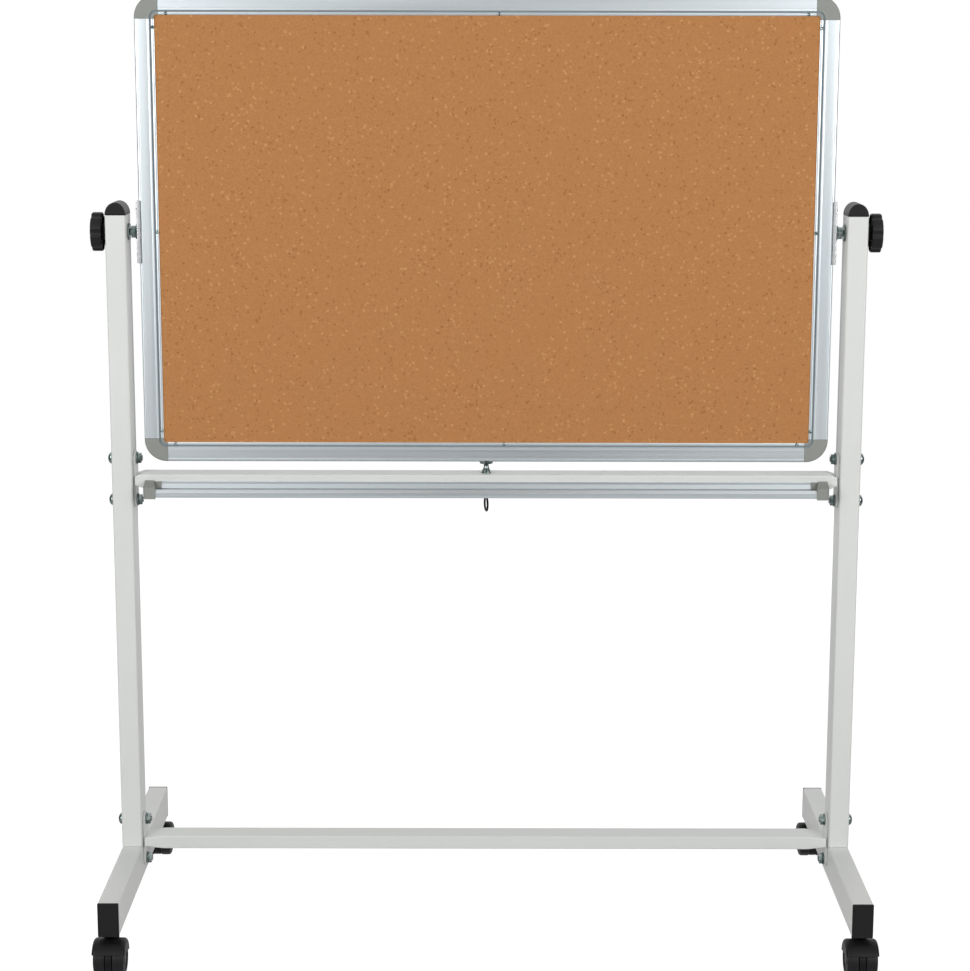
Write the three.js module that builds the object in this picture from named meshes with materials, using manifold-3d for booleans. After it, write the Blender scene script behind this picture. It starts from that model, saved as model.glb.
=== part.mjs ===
// A rolling stand that carries a board which turns over between its two posts.
// One side of the board is cork and the other is a whiteboard.
// X runs along the board, +Y to the back and +Z up. The origin is on the floor,
// under the middle of the stand. Lengths are in millimetres.

import * as THREE from 'three';
import { mergeVertices } from 'three/addons/utils/BufferGeometryUtils.js';
import Module from 'manifold-3d';

const wasm = await Module();
wasm.setup();

// Clearances, the overrun of every cut, and how near two corners are one
const seatGap = 0.3;
const runGap = 0.4;
const plugGap = 0.6;
const overrun = 2;
const mergeWithin = 1e-4;

// Board
const boardWide = 1000;
const boardHigh = 670;
const boardThick = 20;
const pivotHigh = 1032;
const railFace = 28.5;
const railWall = 1.5;
const railRound = 3.2;
const chamberRound = 0.8;
const lipWide = 4;
const lipSink = 1.2;
const lipThick = 1.5;
const grooveWide = 3.5;
const grooveDeep = 1.8;
const slotDeep = 10.5;
const cornerReach = 34;
const cornerRound = 32;
const cornerProud = 0.4;
const cornerPlugLong = 20;
const corkThick = 3;
const sheetThick = 0.6;

// Posts, feet and their caps
const postWide = 30;
const postDeep = 50;
const tubeWall = 1.5;
const tubeRound = 3;
const postAbovePivot = 25;
const postCapHigh = 18;
const postCapBevel = 1.5;
const capPlugWall = 1;
const footLong = 522;
const footHigh = 50;
const footCapThick = 3;
const footCapBevel = 1;

// Crossbars and the bolts that hold their end plates
const barHigh = 20;
const barDeep = 40;
const barRound = 2;
const boardToBar = 17.5;
const lowerBarRise = 5;
const barEndDrop = 6;
const upperTaperLong = 10;
const lowerTaperLong = 30;
const plateThick = 3;
const plateDeep = 30;
const plateHigh = 84;
const ventRadius = 3;
const boltPitch = 62;
const boltRadius = 4;
const boltHeadRadius = 8.3;
const boltHeadHigh = 5.5;
const boltFlangeRadius = 9;
const boltFlangeThick = 1.6;
const nutAcross = 14;
const nutHigh = 5;

// Pivots at the two sides of the board
const pivotGap = 17;
const pivotPlateHigh = 90;
const pivotPlateThick = 3;
const pivotFlangeThick = 1.5;
const pivotFlangeReach = 3;
const studRadius = 5;
const studHeadRadius = 7.2;
const studHeadThick = 4;
const studFlangeRadius = 11;
const studFlangeThick = 2;
const studNutAcross = 17;
const studNutHigh = 6;
const washerRadius = 12.5;
const washerThick = 2.5;

// Clamp knobs
const knobRadius = 28;
const knobThick = 16;
const knobLobes = 6;
const knobScallopRadius = 7;
const knobScallopDeep = 2.6;
const knobBevel = 2.4;
const knobDome = 3;
const knobBossRadius = 10.5;
const knobBossLong = 8;
const knobSkin = 4;
const knobWall = 3;
const knobRibThick = 2;
const knobThreadLong = 14;

// Pen tray
const trayEndGap = 20;
const trayDeep = 25;
const trayHigh = 20.4;
const trayWall = 1.6;
const trayBend = 3;
const trayFrontHigh = 12.4;
const trayLip = 3.5;
const trayFlangeHigh = 4;
const trayShoulderHigh = 5;
const trayShoulderDeep = 4;
const trayCapWall = 1.2;
const trayCapPlate = 2.5;
const trayCapRound = 5.5;
const trayCapProud = 4;
const trayCapFrontLong = 18.5;
const trayCapBackLong = 13.5;
const trayCapTongue = 27;

// Spring latch under the board
const pinRadius = 5;
const pinTipRadius = 3;
const pinTipLong = 5;
const pinNoseLong = 1;
const pinShoulderLong = 1.5;
const pinToStriker = 0.6;
const pinBodyLong = 16;
const pinRodLong = 31;
const housingWall = 1.4;
const housingFlangeRadius = 10.5;
const housingFlangeThick = 4;
const housingNutRadius = 9.5;
const housingNutThick = 3;
const housingTail = 8;
const springWire = 1;
const springCurls = 6;
const strikerRadius = 11.5;
const strikerThick = 3.2;
const strikerNeckRadius = 5.7;
const strikerNeckLong = 3;
const ringRadius = 13;
const ringWire = 1;
const ringEyeRadius = 1.4;
const ringEyeRise = 3;

// Twin-wheel casters
const casterHigh = 60;
const casterInset = 27;
const casterTrail = 15;
const wheelRadius = 25;
const wheelWide = 17;
const wheelEdge = 3.5;
const wheelDish = 2.5;
const wheelCapRadius = 8;
const wheelCapRise = 1.5;
const wheelCapThick = 3.5;
const wheelRimWide = 4;
const webThick = 9;
const axleRadius = 3;
const hoodWall = 2.5;
const hoodCheek = 1.2;
const hoodRound = 5;
const stemRadius = 5.5;
const stemLong = 34;
const neckRadius = 11;
const neckSink = 12;
const socketWall = 2.5;
const webRadius = 18.5;

// Angles, in degrees
const hoodBackAngle = 25;
const hoodFrontAngle = 172;
const fullTurnAngle = 360;
const ringTurnAngle = 12;

// Facet counts
const cornerSteps = 3;
const archSteps = 12;
const boltSides = 12;
const turnedSides = 18;
const wheelSides = 18;
const holeSides = 10;
const springSteps = 8;
const springSides = 5;
const ringSides = 6;
const lobeSteps = 4;
const nutSides = 6;

// Places worked out from the sizes
const halfBoard = boardWide / 2;
const boardBottom = pivotHigh - boardHigh / 2;
const postInner = halfBoard + pivotGap;
const postX = postInner + postWide / 2;
const postOuter = postInner + postWide;
const trayHalf = postInner - trayEndGap;
const footTop = casterHigh + footHigh;
const postTop = pivotHigh + postAbovePivot;
const upperBarZ = boardBottom - boardToBar - barHigh / 2;
const lowerBarZ = footTop + lowerBarRise;
const slotHalf = boardThick / 2 - lipSink - lipThick;
const panelInset = railFace - slotDeep + seatGap;
const socketRadius = stemRadius + runGap + socketWall;
const capPlugDeep = casterInset - socketRadius - footCapThick - seatGap * 3;

// Colours
const creamPaint = { color: 0xdededa, roughness: 0.45, metalness: 0 };
const silverMetal = { color: 0xc4c8cc, roughness: 0.35, metalness: 0.9 };
const zincMetal = { color: 0xb4bcbc, roughness: 0.3, metalness: 0.9 };
const springSteel = { color: 0x8a8e92, roughness: 0.3, metalness: 1 };
const greyPlastic = { color: 0x8c8e8a, roughness: 0.5, metalness: 0 };
const blackPlastic = { color: 0x1c1c1e, roughness: 0.45, metalness: 0 };
const wheelPlastic = { color: 0x232325, roughness: 0.55, metalness: 0 };
const corkBrown = { color: 0xc18854, roughness: 0.9, metalness: 0 };
const boardCore = { color: 0xa88a62, roughness: 0.85, metalness: 0 };
const whiteEnamel = { color: 0xf2f3f3, roughness: 0.12, metalness: 0 };

// Solids from three.js geometry, with their faces turned outwards
function closedMesh(geometry) {
  const bare = geometry.index ? geometry.toNonIndexed() : geometry.clone();
  bare.deleteAttribute('normal');
  bare.deleteAttribute('uv');
  const merged = mergeVertices(bare, mergeWithin);
  const spots = merged.attributes.position.array;
  const corners = [];
  let volume = 0;
  for (let i = 0; i < merged.index.count; i += 3) {
    const [a, b, c] = [0, 1, 2].map((k) => merged.index.array[i + k]);
    if (a === b || b === c || c === a) continue;
    corners.push(a, b, c);
    const [p, q, r] = [a, b, c].map((k) => new THREE.Vector3().fromArray(spots, k * 3));
    volume += p.dot(q.cross(r));
  }
  if (volume < 0) {
    for (let i = 0; i < corners.length; i += 3) {
      [corners[i], corners[i + 1]] = [corners[i + 1], corners[i]];
    }
  }
  return { numProp: 3, vertProperties: Float32Array.from(spots), triVerts: Uint32Array.from(corners) };
}

function solid(geometry) {
  return new wasm.Manifold(new wasm.Mesh(closedMesh(geometry)));
}

function geometryOf(body) {
  const mesh = body.getMesh();
  const geometry = new THREE.BufferGeometry();
  geometry.setAttribute('position', new THREE.BufferAttribute(mesh.vertProperties, mesh.numProp));
  geometry.setIndex(new THREE.BufferAttribute(mesh.triVerts, 1));
  geometry.computeVertexNormals();
  return geometry;
}

// Extrusions along the three axes. The outline is drawn on (x, y) for Z,
// on (y, z) for X and on (x, z) for Y.
function extruded(shape, long, { bevel = 0, steps = 1, arcSteps = cornerSteps, bevelSteps = 1 } = {}) {
  const geometry = new THREE.ExtrudeGeometry(shape, {
    depth: long - bevel * 2,
    steps,
    curveSegments: arcSteps / 2,
    bevelEnabled: bevel > 0,
    bevelThickness: bevel,
    bevelSize: bevel,
    bevelOffset: -bevel,
    bevelSegments: bevelSteps,
  });
  return geometry.translate(0, 0, bevel);
}

function alongZ(shape, low, high, options) {
  return extruded(shape, high - low, options).translate(0, 0, low);
}

function alongX(shape, low, high, options) {
  const turn = new THREE.Matrix4().set(0, 0, 1, low, 1, 0, 0, 0, 0, 1, 0, 0, 0, 0, 0, 1);
  return extruded(shape, high - low, options).applyMatrix4(turn);
}

function alongY(shape, low, high, options) {
  return extruded(shape, high - low, options).rotateX(Math.PI / 2).translate(0, high, 0);
}

// Turned pieces. A profile is a list of [radius, place along the axis].
function turnedZ(profile, sides = turnedSides) {
  const points = profile.map(([radius, place]) => new THREE.Vector2(radius, place));
  return new THREE.LatheGeometry(points, sides).rotateX(Math.PI / 2);
}

function turnedX(profile, sides = turnedSides) {
  const points = profile.map(([radius, place]) => new THREE.Vector2(radius, place));
  return new THREE.LatheGeometry(points, sides).rotateZ(-Math.PI / 2);
}

function rodZ(radius, low, high, sides = holeSides) {
  return turnedZ([[0, low], [radius, low], [radius, high], [0, high]], sides);
}

function rodX(radius, low, high, sides = holeSides) {
  return turnedX([[0, low], [radius, low], [radius, high], [0, high]], sides);
}

function box(low, high) {
  const size = high.map((value, k) => value - low[k]);
  const centre = high.map((value, k) => (value + low[k]) / 2);
  return new THREE.BoxGeometry(...size).translate(...centre);
}

// Flat outlines
function roundedRectangle(wide, high, round, path = new THREE.Shape()) {
  const quarters = [[1, -1], [1, 1], [-1, 1], [-1, -1]];
  quarters.forEach(([alongSign, upSign], k) => {
    const x = alongSign * (wide / 2 - round);
    const y = upSign * (high / 2 - round);
    path.absarc(x, y, round, (Math.PI / 2) * (k - 1), (Math.PI / 2) * k);
  });
  return path;
}

function tubeSection(wide, high, round, wall) {
  const section = roundedRectangle(wide, high, round);
  const boreRound = Math.max(round - wall, 0);
  const bore = roundedRectangle(wide - wall * 2, high - wall * 2, boreRound, new THREE.Path());
  section.holes.push(bore);
  return section;
}

function polygon(points) {
  return new THREE.Shape(points.map(([x, y]) => new THREE.Vector2(x, y)));
}

function regularPolygon(sides, across) {
  const radius = across / 2 / Math.cos(Math.PI / sides);
  const corner = (k) => [
    radius * Math.cos((Math.PI * 2 * k) / sides),
    radius * Math.sin((Math.PI * 2 * k) / sides),
  ];
  return polygon(Array.from({ length: sides }, (_, k) => corner(k)));
}

// A line of points moved to its left by a distance, mitred at its corners
function shifted(line, distance) {
  const points = line.map(([x, y]) => new THREE.Vector2(x, y));
  const ways = points.slice(1).map((point, k) => point.clone().sub(points[k]).normalize());
  return points.map((point, k) => {
    const before = ways[Math.max(k - 1, 0)];
    const after = ways[Math.min(k, ways.length - 1)];
    const middle = before.clone().add(after).normalize();
    const left = new THREE.Vector2(-middle.y, middle.x);
    return point.clone().addScaledVector(left, distance / middle.dot(after));
  });
}

// A strip along such a line, between two distances to its left
function strip(line, from, to) {
  return new THREE.Shape([...shifted(line, from), ...shifted(line, to).reverse()]);
}

// Points on an arc about a centre, with the angles in degrees
function arcPoints([x, y], radius, from, to, steps) {
  return Array.from({ length: steps + 1 }, (_, k) => {
    const angle = THREE.MathUtils.degToRad(from + ((to - from) * k) / steps);
    return [x + radius * Math.cos(angle), y + radius * Math.sin(angle)];
  });
}

// The finished pieces are gathered here, each as a named mesh
const part = new THREE.Group();

function addPiece(name, geometry, finish, group = part) {
  const mesh = new THREE.Mesh(geometry, new THREE.MeshStandardMaterial(finish));
  mesh.name = name;
  group.add(mesh);
  return mesh;
}

function cutAway(geometry, ...tools) {
  const body = tools.reduce((left, tool) => left.subtract(solid(tool)), solid(geometry));
  return geometryOf(body);
}

function keptWithin(geometry, room) {
  return geometryOf(solid(geometry).intersect(solid(room)));
}

function joined(...pieces) {
  const body = pieces.map(solid).reduce((sum, piece) => sum.add(piece));
  return geometryOf(body);
}

// An extrusion along X in whole steps, with each of its rings moved to a station
function alongStations(section, count, place) {
  const drawn = alongX(section, 0, count - 1, { steps: count - 1 });
  const spots = drawn.attributes.position;
  for (let i = 0; i < spots.count; i += 1) {
    spots.setXYZ(i, ...place(Math.round(spots.getX(i)), spots.getY(i), spots.getZ(i)));
  }
  return drawn;
}

// A piece at both sides is made once and given a half turn for the other side
const sides = [
  { side: 'left', turn: 0, sign: -1 },
  { side: 'right', turn: Math.PI, sign: 1 },
];

// Posts: upright tubes with cross holes for the pivot and the plate bolts
const postBolts = [upperBarZ - boltPitch / 2, upperBarZ + boltPitch / 2, lowerBarZ + boltPitch / 2];
const footBolt = lowerBarZ - boltPitch / 2;

function crossHole(radius, height) {
  return rodX(radius + runGap, -postWide / 2 - overrun, postWide / 2 + overrun).translate(0, 0, height);
}

function postGeometry() {
  const tube = alongZ(tubeSection(postWide, postDeep, tubeRound, tubeWall), footTop + seatGap, postTop);
  const boltHoles = postBolts.map((height) => crossHole(boltRadius, height));
  return cutAway(tube, crossHole(studRadius, pivotHigh), ...boltHoles);
}

// Post caps: an arched top with a hollow plug down into the tube
function plugSection(wide, high) {
  const plugWide = wide - (tubeWall + seatGap) * 2;
  const plugHigh = high - (tubeWall + seatGap) * 2;
  return tubeSection(plugWide, plugHigh, tubeRound - tubeWall - seatGap, capPlugWall);
}

function postCapGeometry() {
  const base = postTop + seatGap;
  const half = postWide / 2;
  const arch = new THREE.Shape();
  arch.absellipse(0, base, half, postCapHigh, 0, Math.PI);
  const dome = alongY(arch, -postDeep / 2, postDeep / 2, { bevel: postCapBevel, arcSteps: archSteps });
  const plug = alongZ(plugSection(postWide, postDeep), base - capPlugDeep, base + postCapBevel * 2);
  return joined(dome, plug);
}

// Feet: tubes along Y with a socket over each caster stem
const footTubeHalf = footLong / 2 - footCapThick - seatGap;
const casterY = footLong / 2 - casterInset;

function footGeometry() {
  const middle = casterHigh + footHigh / 2;
  const section = tubeSection(postWide, footHigh, tubeRound, tubeWall);
  const tube = alongY(section, -footTubeHalf, footTubeHalf).translate(0, 0, middle);
  const bolt = crossHole(boltRadius, footBolt);
  const socketTop = casterHigh + stemLong;
  const sockets = [-casterY, casterY].map((y) =>
    rodZ(socketRadius, casterHigh, socketTop).translate(0, y, 0));
  const bores = [-casterY, casterY].map((y) =>
    rodZ(stemRadius + runGap, casterHigh - overrun, socketTop + overrun).translate(0, y, 0));
  return cutAway(joined(tube, ...sockets), bolt, ...bores);
}

function footCapGeometry() {
  const plate = alongY(roundedRectangle(postWide, footHigh, tubeRound), -footCapThick, 0, {
    bevel: footCapBevel,
  });
  const plug = alongY(plugSection(postWide, footHigh), -footCapThick / 2, capPlugDeep);
  return joined(plate, plug);
}

for (const { side, turn, sign } of sides) {
  const upright = new THREE.Group();
  upright.position.x = sign * postX;
  upright.rotation.z = turn;
  part.add(upright);
  addPiece(`${side}_post`, postGeometry(), creamPaint, upright);
  addPiece(`${side}_post_cap`, postCapGeometry(), blackPlastic, upright);
  addPiece(`${side}_foot`, footGeometry(), creamPaint, upright);
  for (const [end, capTurn] of [['front', 0], ['back', Math.PI]]) {
    const cap = addPiece(`${side}_${end}_foot_cap`, footCapGeometry(), blackPlastic);
    const place = end === 'front' ? -1 : 1;
    cap.position.set(sign * postX, place * (footTubeHalf + seatGap), casterHigh + footHigh / 2);
    cap.rotation.z = capTurn;
  }
}

// Crossbars: a flat tube drawn in at both ends and welded to an upright plate
const plateInner = postInner - seatGap - plateThick;

function barTube(taperLong) {
  const stationShares = [0, 0.5, 1];
  const fromEnd = stationShares.map((share) => share * taperLong);
  const stations = [
    ...fromEnd.map((place) => place - plateInner),
    ...fromEnd.map((place) => plateInner - place).reverse(),
  ];
  return alongStations(tubeSection(barDeep, barHigh, barRound, tubeWall), stations.length, (k, y, z) => {
    const inward = Math.min((plateInner - Math.abs(stations[k])) / taperLong, 1);
    const ease = (1 - Math.cos(Math.PI * inward)) / 2;
    const height = 1 - (barEndDrop / barHigh) * (1 - ease);
    return [stations[k], y, z * height];
  });
}

function endPlate(sign) {
  const outline = roundedRectangle(plateDeep, plateHigh, plateDeep / 2 - seatGap);
  const inner = plateInner - seatGap;
  const plate = alongX(outline, inner, plateInner + plateThick, { arcSteps: archSteps / 2 });
  const holes = [-boltPitch / 2, boltPitch / 2].map((z) =>
    rodX(boltRadius + runGap, inner - overrun, postInner + overrun).translate(0, 0, z));
  const vent = rodX(ventRadius, inner - overrun, postInner + overrun);
  const made = cutAway(plate, vent, ...holes);
  return sign > 0 ? made : made.rotateZ(Math.PI);
}

function crossbarGeometry(taperLong) {
  return joined(barTube(taperLong), endPlate(1), endPlate(-1));
}

// The housing's thread passes through the upper bar
const springTop = boardBottom - seatGap - strikerThick - pinToStriker - pinTipLong - pinBodyLong;
const housingBore = pinRadius + runGap;
const housingOuter = housingBore + housingWall;
const barHoleRadius = housingOuter + seatGap;

const upperHole = rodZ(barHoleRadius, -barHigh / 2 - overrun, barHigh / 2 + overrun, turnedSides);
const upperBar = addPiece('upper_crossbar', cutAway(crossbarGeometry(upperTaperLong), upperHole), creamPaint);
upperBar.position.z = upperBarZ;
const lowerBar = addPiece('lower_crossbar', crossbarGeometry(lowerTaperLong), creamPaint);
lowerBar.position.z = lowerBarZ;

// Plate bolts: a domed head outside, the shank, and a flanged nut inside
function boltGeometry() {
  const headSeat = postOuter + seatGap;
  const nutSeat = plateInner - seatGap * 2;
  const nutEnd = nutSeat - boltFlangeThick - nutHigh;
  const domeShares = [[1, 0.3], [0.68, 0.8]];
  const shank = turnedX([
    [0, nutEnd - boltFlangeThick],
    [boltRadius, nutEnd - boltFlangeThick],
    [boltRadius, nutSeat - boltFlangeThick],
    [boltFlangeRadius, nutSeat - boltFlangeThick],
    [boltFlangeRadius, nutSeat],
    [boltRadius, nutSeat],
    [boltRadius, headSeat],
    [boltHeadRadius, headSeat],
    ...domeShares.map(([radial, axial]) => [boltHeadRadius * radial, headSeat + boltHeadHigh * axial]),
    [0, headSeat + boltHeadHigh],
  ], boltSides);
  const nut = alongX(regularPolygon(nutSides, nutAcross), nutEnd, nutSeat - boltFlangeThick / 2);
  return joined(shank, nut);
}

const boltPlaces = [
  ['upper_high', upperBarZ + boltPitch / 2],
  ['upper_low', upperBarZ - boltPitch / 2],
  ['lower_high', lowerBarZ + boltPitch / 2],
  ['lower_low', footBolt],
];
for (const { side, sign } of sides) {
  for (const [place, height] of boltPlaces) {
    const bolt = addPiece(`${side}_${place}_bolt`, boltGeometry(), zincMetal);
    bolt.position.z = height;
    bolt.rotation.z = sign > 0 ? 0 : Math.PI;
  }
}

// Pen tray: an extruded trough on the front of the upper bar, with end caps.
// Its line runs down the bar's front, over a shoulder, and up to a lip that leans in.
const trayBackY = -barDeep / 2 - seatGap - trayWall / 2;
const trayShoulderY = trayBackY - trayShoulderDeep;
const trayFrontY = trayBackY - trayDeep + trayWall;
const trayTop = upperBarZ;
const trayFloor = trayTop - trayHigh + trayWall / 2;
const trayFrontTop = trayFloor + trayFrontHigh - trayWall;
const trayLipFoot = trayFrontTop - trayLip;
const trayBackLine = [
  [trayBackY, trayTop],
  [trayBackY, trayTop - trayFlangeHigh],
  [trayShoulderY, trayTop - trayFlangeHigh - trayShoulderHigh],
];
const trayLine = [
  ...trayBackLine,
  ...arcPoints([trayShoulderY - trayBend, trayFloor + trayBend], trayBend, 0, -90, cornerSteps),
  ...arcPoints([trayFrontY + trayBend, trayFloor + trayBend], trayBend, -90, -180, cornerSteps),
  [trayFrontY, trayLipFoot],
  [trayFrontY + trayLip, trayFrontTop],
];
const trayEnd = trayHalf - trayCapPlate - seatGap;
addPiece('pen_tray', alongX(strip(trayLine, -trayWall / 2, trayWall / 2), -trayEnd, trayEnd), silverMetal);

// A tray cap is a thin box over the trough's end, open inwards. Its roof falls to the front,
// its outer corner is round, and a tongue runs on along the back of the trough.
function trayCapGeometry() {
  const clear = trayWall / 2 + seatGap;
  const outer = clear + trayCapWall;
  const backY = trayBackY + trayWall / 2;
  const roofFront = trayFrontTop + trayCapProud;
  const boxOutline = polygon([
    [backY, trayTop + seatGap + trayCapWall],
    [trayFrontY - outer, roofFront],
    ...arcPoints([trayFrontY, trayFloor], outer, 180, 270, cornerSteps),
    [backY, trayFloor - outer],
  ]);
  const roomOutline = polygon([
    [backY + overrun, trayTop + seatGap],
    [trayBackY - clear, trayTop + seatGap],
    [trayFrontY - clear, roofFront - trayCapWall],
    ...arcPoints([trayFrontY, trayFloor], clear, 180, 270, cornerSteps),
    [backY + overrun, trayFloor - clear],
  ]);
  const longest = trayCapTongue + overrun;
  const shell = cutAway(alongX(boxOutline, 0, longest), alongX(roomOutline, trayCapPlate, longest + overrun));
  const frontY = trayFrontY - outer;
  const plan = polygon([
    ...arcPoints([trayCapRound, frontY + trayCapRound], trayCapRound, 180, 270, cornerSteps),
    [trayCapFrontLong, frontY],
    [trayCapBackLong, backY],
    [0, backY],
  ]);
  const block = keptWithin(shell, alongZ(plan, trayFloor - outer - overrun, trayTop + outer + overrun));
  const tongueLine = [
    [trayBackY, trayTop + seatGap],
    ...trayBackLine.slice(1),
    [trayShoulderY, trayFloor + outer],
  ];
  const tongue = alongX(strip(tongueLine, -outer, -clear), trayCapPlate / 2, trayCapTongue);
  return joined(block, tongue);
}

const trayCap = trayCapGeometry();
const leftTrayCap = addPiece('left_tray_cap', trayCap, greyPlastic);
leftTrayCap.position.x = -trayHalf;
const rightTrayCap = addPiece('right_tray_cap', geometryOf(solid(trayCap).mirror([1, 0, 0])), greyPlastic);
rightTrayCap.position.x = trayHalf;

// Latch housing: a threaded sleeve through the bar, with a flange and a nut
const barTop = upperBarZ + barHigh / 2;
const barUnder = upperBarZ - barHigh / 2;
const housingFloor = barUnder - housingTail;
const springFloor = housingFloor + housingWall;
const housingTop = barTop + seatGap + housingFlangeThick;
addPiece('latch_housing', turnedZ([
  [pinTipRadius + runGap, housingFloor],
  [housingOuter, housingFloor],
  [housingOuter, barUnder - seatGap - housingNutThick],
  [housingNutRadius, barUnder - seatGap - housingNutThick],
  [housingNutRadius, barUnder - seatGap],
  [housingOuter, barUnder - seatGap],
  [housingOuter, barTop + seatGap],
  [housingFlangeRadius, barTop + seatGap],
  [housingFlangeRadius, housingTop - housingWall],
  [housingOuter, housingTop],
  [housingBore, housingTop],
  [housingBore, springFloor],
  [pinTipRadius + runGap, springFloor],
  [pinTipRadius + runGap, housingFloor],
]), zincMetal);

// Latch pin: a rod with an eye, the body that the spring lifts, and a thin tip
const pinTip = boardBottom - seatGap - strikerThick - pinToStriker;
const pinFoot = springTop - pinRodLong;
const eyeZ = pinFoot + ringEyeRise;
const pinTurned = turnedZ([
  [0, pinFoot],
  [pinTipRadius, pinFoot],
  [pinTipRadius, springTop],
  [pinRadius, springTop],
  [pinRadius, springTop + pinBodyLong - pinShoulderLong],
  [pinTipRadius, springTop + pinBodyLong],
  [pinTipRadius, pinTip - pinNoseLong],
  [pinTipRadius - pinNoseLong, pinTip],
  [0, pinTip],
]);
const eye = rodX(ringEyeRadius, -pinRadius - overrun, pinRadius + overrun)
  .rotateZ(Math.PI / 2 + THREE.MathUtils.degToRad(ringTurnAngle))
  .translate(0, 0, eyeZ);
addPiece('latch_pin', cutAway(pinTurned, eye), zincMetal);

// Pull ring: it hangs through the eye of the pin
const ringProfile = Array.from({ length: ringSides + 1 }, (_, k) => {
  const angle = (Math.PI * 2 * k) / ringSides;
  return [ringRadius + ringWire * Math.cos(angle), ringWire * Math.sin(angle)];
});
const pullRing = addPiece('pull_ring', turnedX(ringProfile), zincMetal);
pullRing.rotation.z = THREE.MathUtils.degToRad(ringTurnAngle);
pullRing.position.z = eyeZ + ringEyeRadius - ringWire - seatGap - ringRadius;

// Latch spring: one unbroken coil between the housing's floor and the pin's body
class Helix extends THREE.Curve {
  constructor(radius, low, high, curls) {
    super();
    Object.assign(this, { radius, low, high, curls });
  }

  getPoint(t, target = new THREE.Vector3()) {
    const angle = Math.PI * 2 * this.curls * t;
    const height = this.low + (this.high - this.low) * t;
    return target.set(this.radius * Math.cos(angle), this.radius * Math.sin(angle), height);
  }
}

const springRadius = (pinTipRadius + housingBore) / 2;
const springLow = springFloor + seatGap + springWire / 2;
const springHigh = springTop - seatGap - springWire / 2;
const coil = new Helix(springRadius, springLow, springHigh, springCurls);
addPiece('latch_spring', new THREE.ExtrudeGeometry(regularPolygon(springSides, springWire), {
  extrudePath: coil,
  steps: springSteps * springCurls,
}), springSteel);

function leastGap(curve, steps, stepsApart, wire) {
  const points = Array.from({ length: steps + 1 }, (_, k) => curve.getPoint(k / steps));
  let least = Infinity;
  for (let i = 0; i <= steps; i += 1) {
    for (let k = i + stepsApart; k <= steps; k += 1) {
      least = Math.min(least, points[i].distanceTo(points[k]) - wire);
    }
  }
  return least;
}

const gap = leastGap(coil, springSteps * springCurls, springSteps / 2, springWire);
console.log(`Latch spring: least gap to itself ${gap.toFixed(2)} mm`);

// Board: everything below it turns about the pivot
const board = new THREE.Group();
board.position.z = pivotHigh;
part.add(board);

// The rail's outline without its slot: round outer edges, a flat band, a groove and the sunk
// lip, in front and behind. y runs through the board and z inwards from its edge.
function profileOutline(half) {
  const lip = half - lipSink;
  const grooveStart = railFace - lipWide - grooveWide;
  const front = [
    ...arcPoints([-half + railRound, railRound], railRound, -90, -180, cornerSteps),
    [-half, grooveStart],
    [-half + grooveDeep, grooveStart],
    [-half + grooveDeep, railFace - lipWide],
    [-lip, railFace - lipWide],
    [-lip, railFace],
  ];
  return [...front, ...front.map(([y, z]) => [-y, z]).reverse()];
}

// The rail's section adds the slot that takes the panel, and a closed chamber outside it
function railSection() {
  const outline = profileOutline(boardThick / 2);
  const inner = outline.length / 2;
  const slotEnd = railFace - slotDeep;
  const slot = [[-slotHalf, railFace], [-slotHalf, slotEnd], [slotHalf, slotEnd], [slotHalf, railFace]];
  const section = polygon([...outline.slice(0, inner), ...slot, ...outline.slice(inner)]);
  const chamberHigh = slotEnd - railWall * 2;
  const chamber = roundedRectangle(boardThick - railWall * 2, chamberHigh, chamberRound, new THREE.Path());
  const middle = railWall + chamberHigh / 2;
  section.holes.push(new THREE.Path(chamber.getPoints(1).map((point) => point.setY(point.y + middle))));
  return section;
}

function railGeometry(long, ...tools) {
  const half = long / 2 - cornerReach - seatGap;
  const rail = alongX(railSection(), -half, half);
  return tools.length > 0 ? cutAway(rail, ...tools) : rail;
}

const strikerHole = rodZ(strikerNeckRadius + seatGap, -overrun, railWall + overrun, holeSides);
const studHole = rodZ(studRadius + seatGap, -overrun, railWall + overrun, holeSides);
const rails = [
  ['bottom_rail', boardWide, boardHigh, 0, strikerHole],
  ['left_rail', boardHigh, boardWide, Math.PI / 2, studHole],
  ['top_rail', boardWide, boardHigh, Math.PI],
  ['right_rail', boardHigh, boardWide, Math.PI * 1.5, studHole],
];
for (const [name, long, across, turn, ...tools] of rails) {
  const geometry = railGeometry(long, ...tools).translate(0, 0, -across / 2);
  addPiece(name, geometry, silverMetal, board).rotation.y = turn;
}

// Corner pieces: the rail's outline, a little proud, led round a quarter turn with a straight
// stub at both ends, cut by the panel's slot, and with a plug for each rail
function cornerGeometry() {
  const outline = profileOutline(boardThick / 2 + cornerProud);
  const lastTurn = archSteps / 2 + 1;
  const shell = alongStations(polygon(outline), lastTurn + 2, (k, y, z) => {
    if (k === 0) return [cornerReach, y, z];
    if (k > lastTurn) return [z, y, cornerReach];
    const angle = ((Math.PI / 2) * (k - 1)) / (lastTurn - 1);
    const radius = cornerRound - z;
    return [cornerRound - radius * Math.sin(angle), y, cornerRound - radius * Math.cos(angle)];
  });
  const slotStart = railFace - slotDeep;
  const reach = cornerReach + overrun;
  const slot = box([slotStart, -slotHalf, slotStart], [reach, slotHalf, reach]);
  const plugNear = railWall + plugGap;
  const plugFar = railFace - slotDeep - railWall - plugGap;
  const plugHalf = boardThick / 2 - railWall - plugGap;
  const plugStart = cornerReach - overrun;
  const plugEnd = cornerReach + cornerPlugLong;
  const alongRail = box([plugStart, -plugHalf, plugNear], [plugEnd, plugHalf, plugFar]);
  const upRail = box([plugNear, -plugHalf, plugStart], [plugFar, plugHalf, plugEnd]);
  return joined(cutAway(shell, slot), alongRail, upRail);
}

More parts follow.
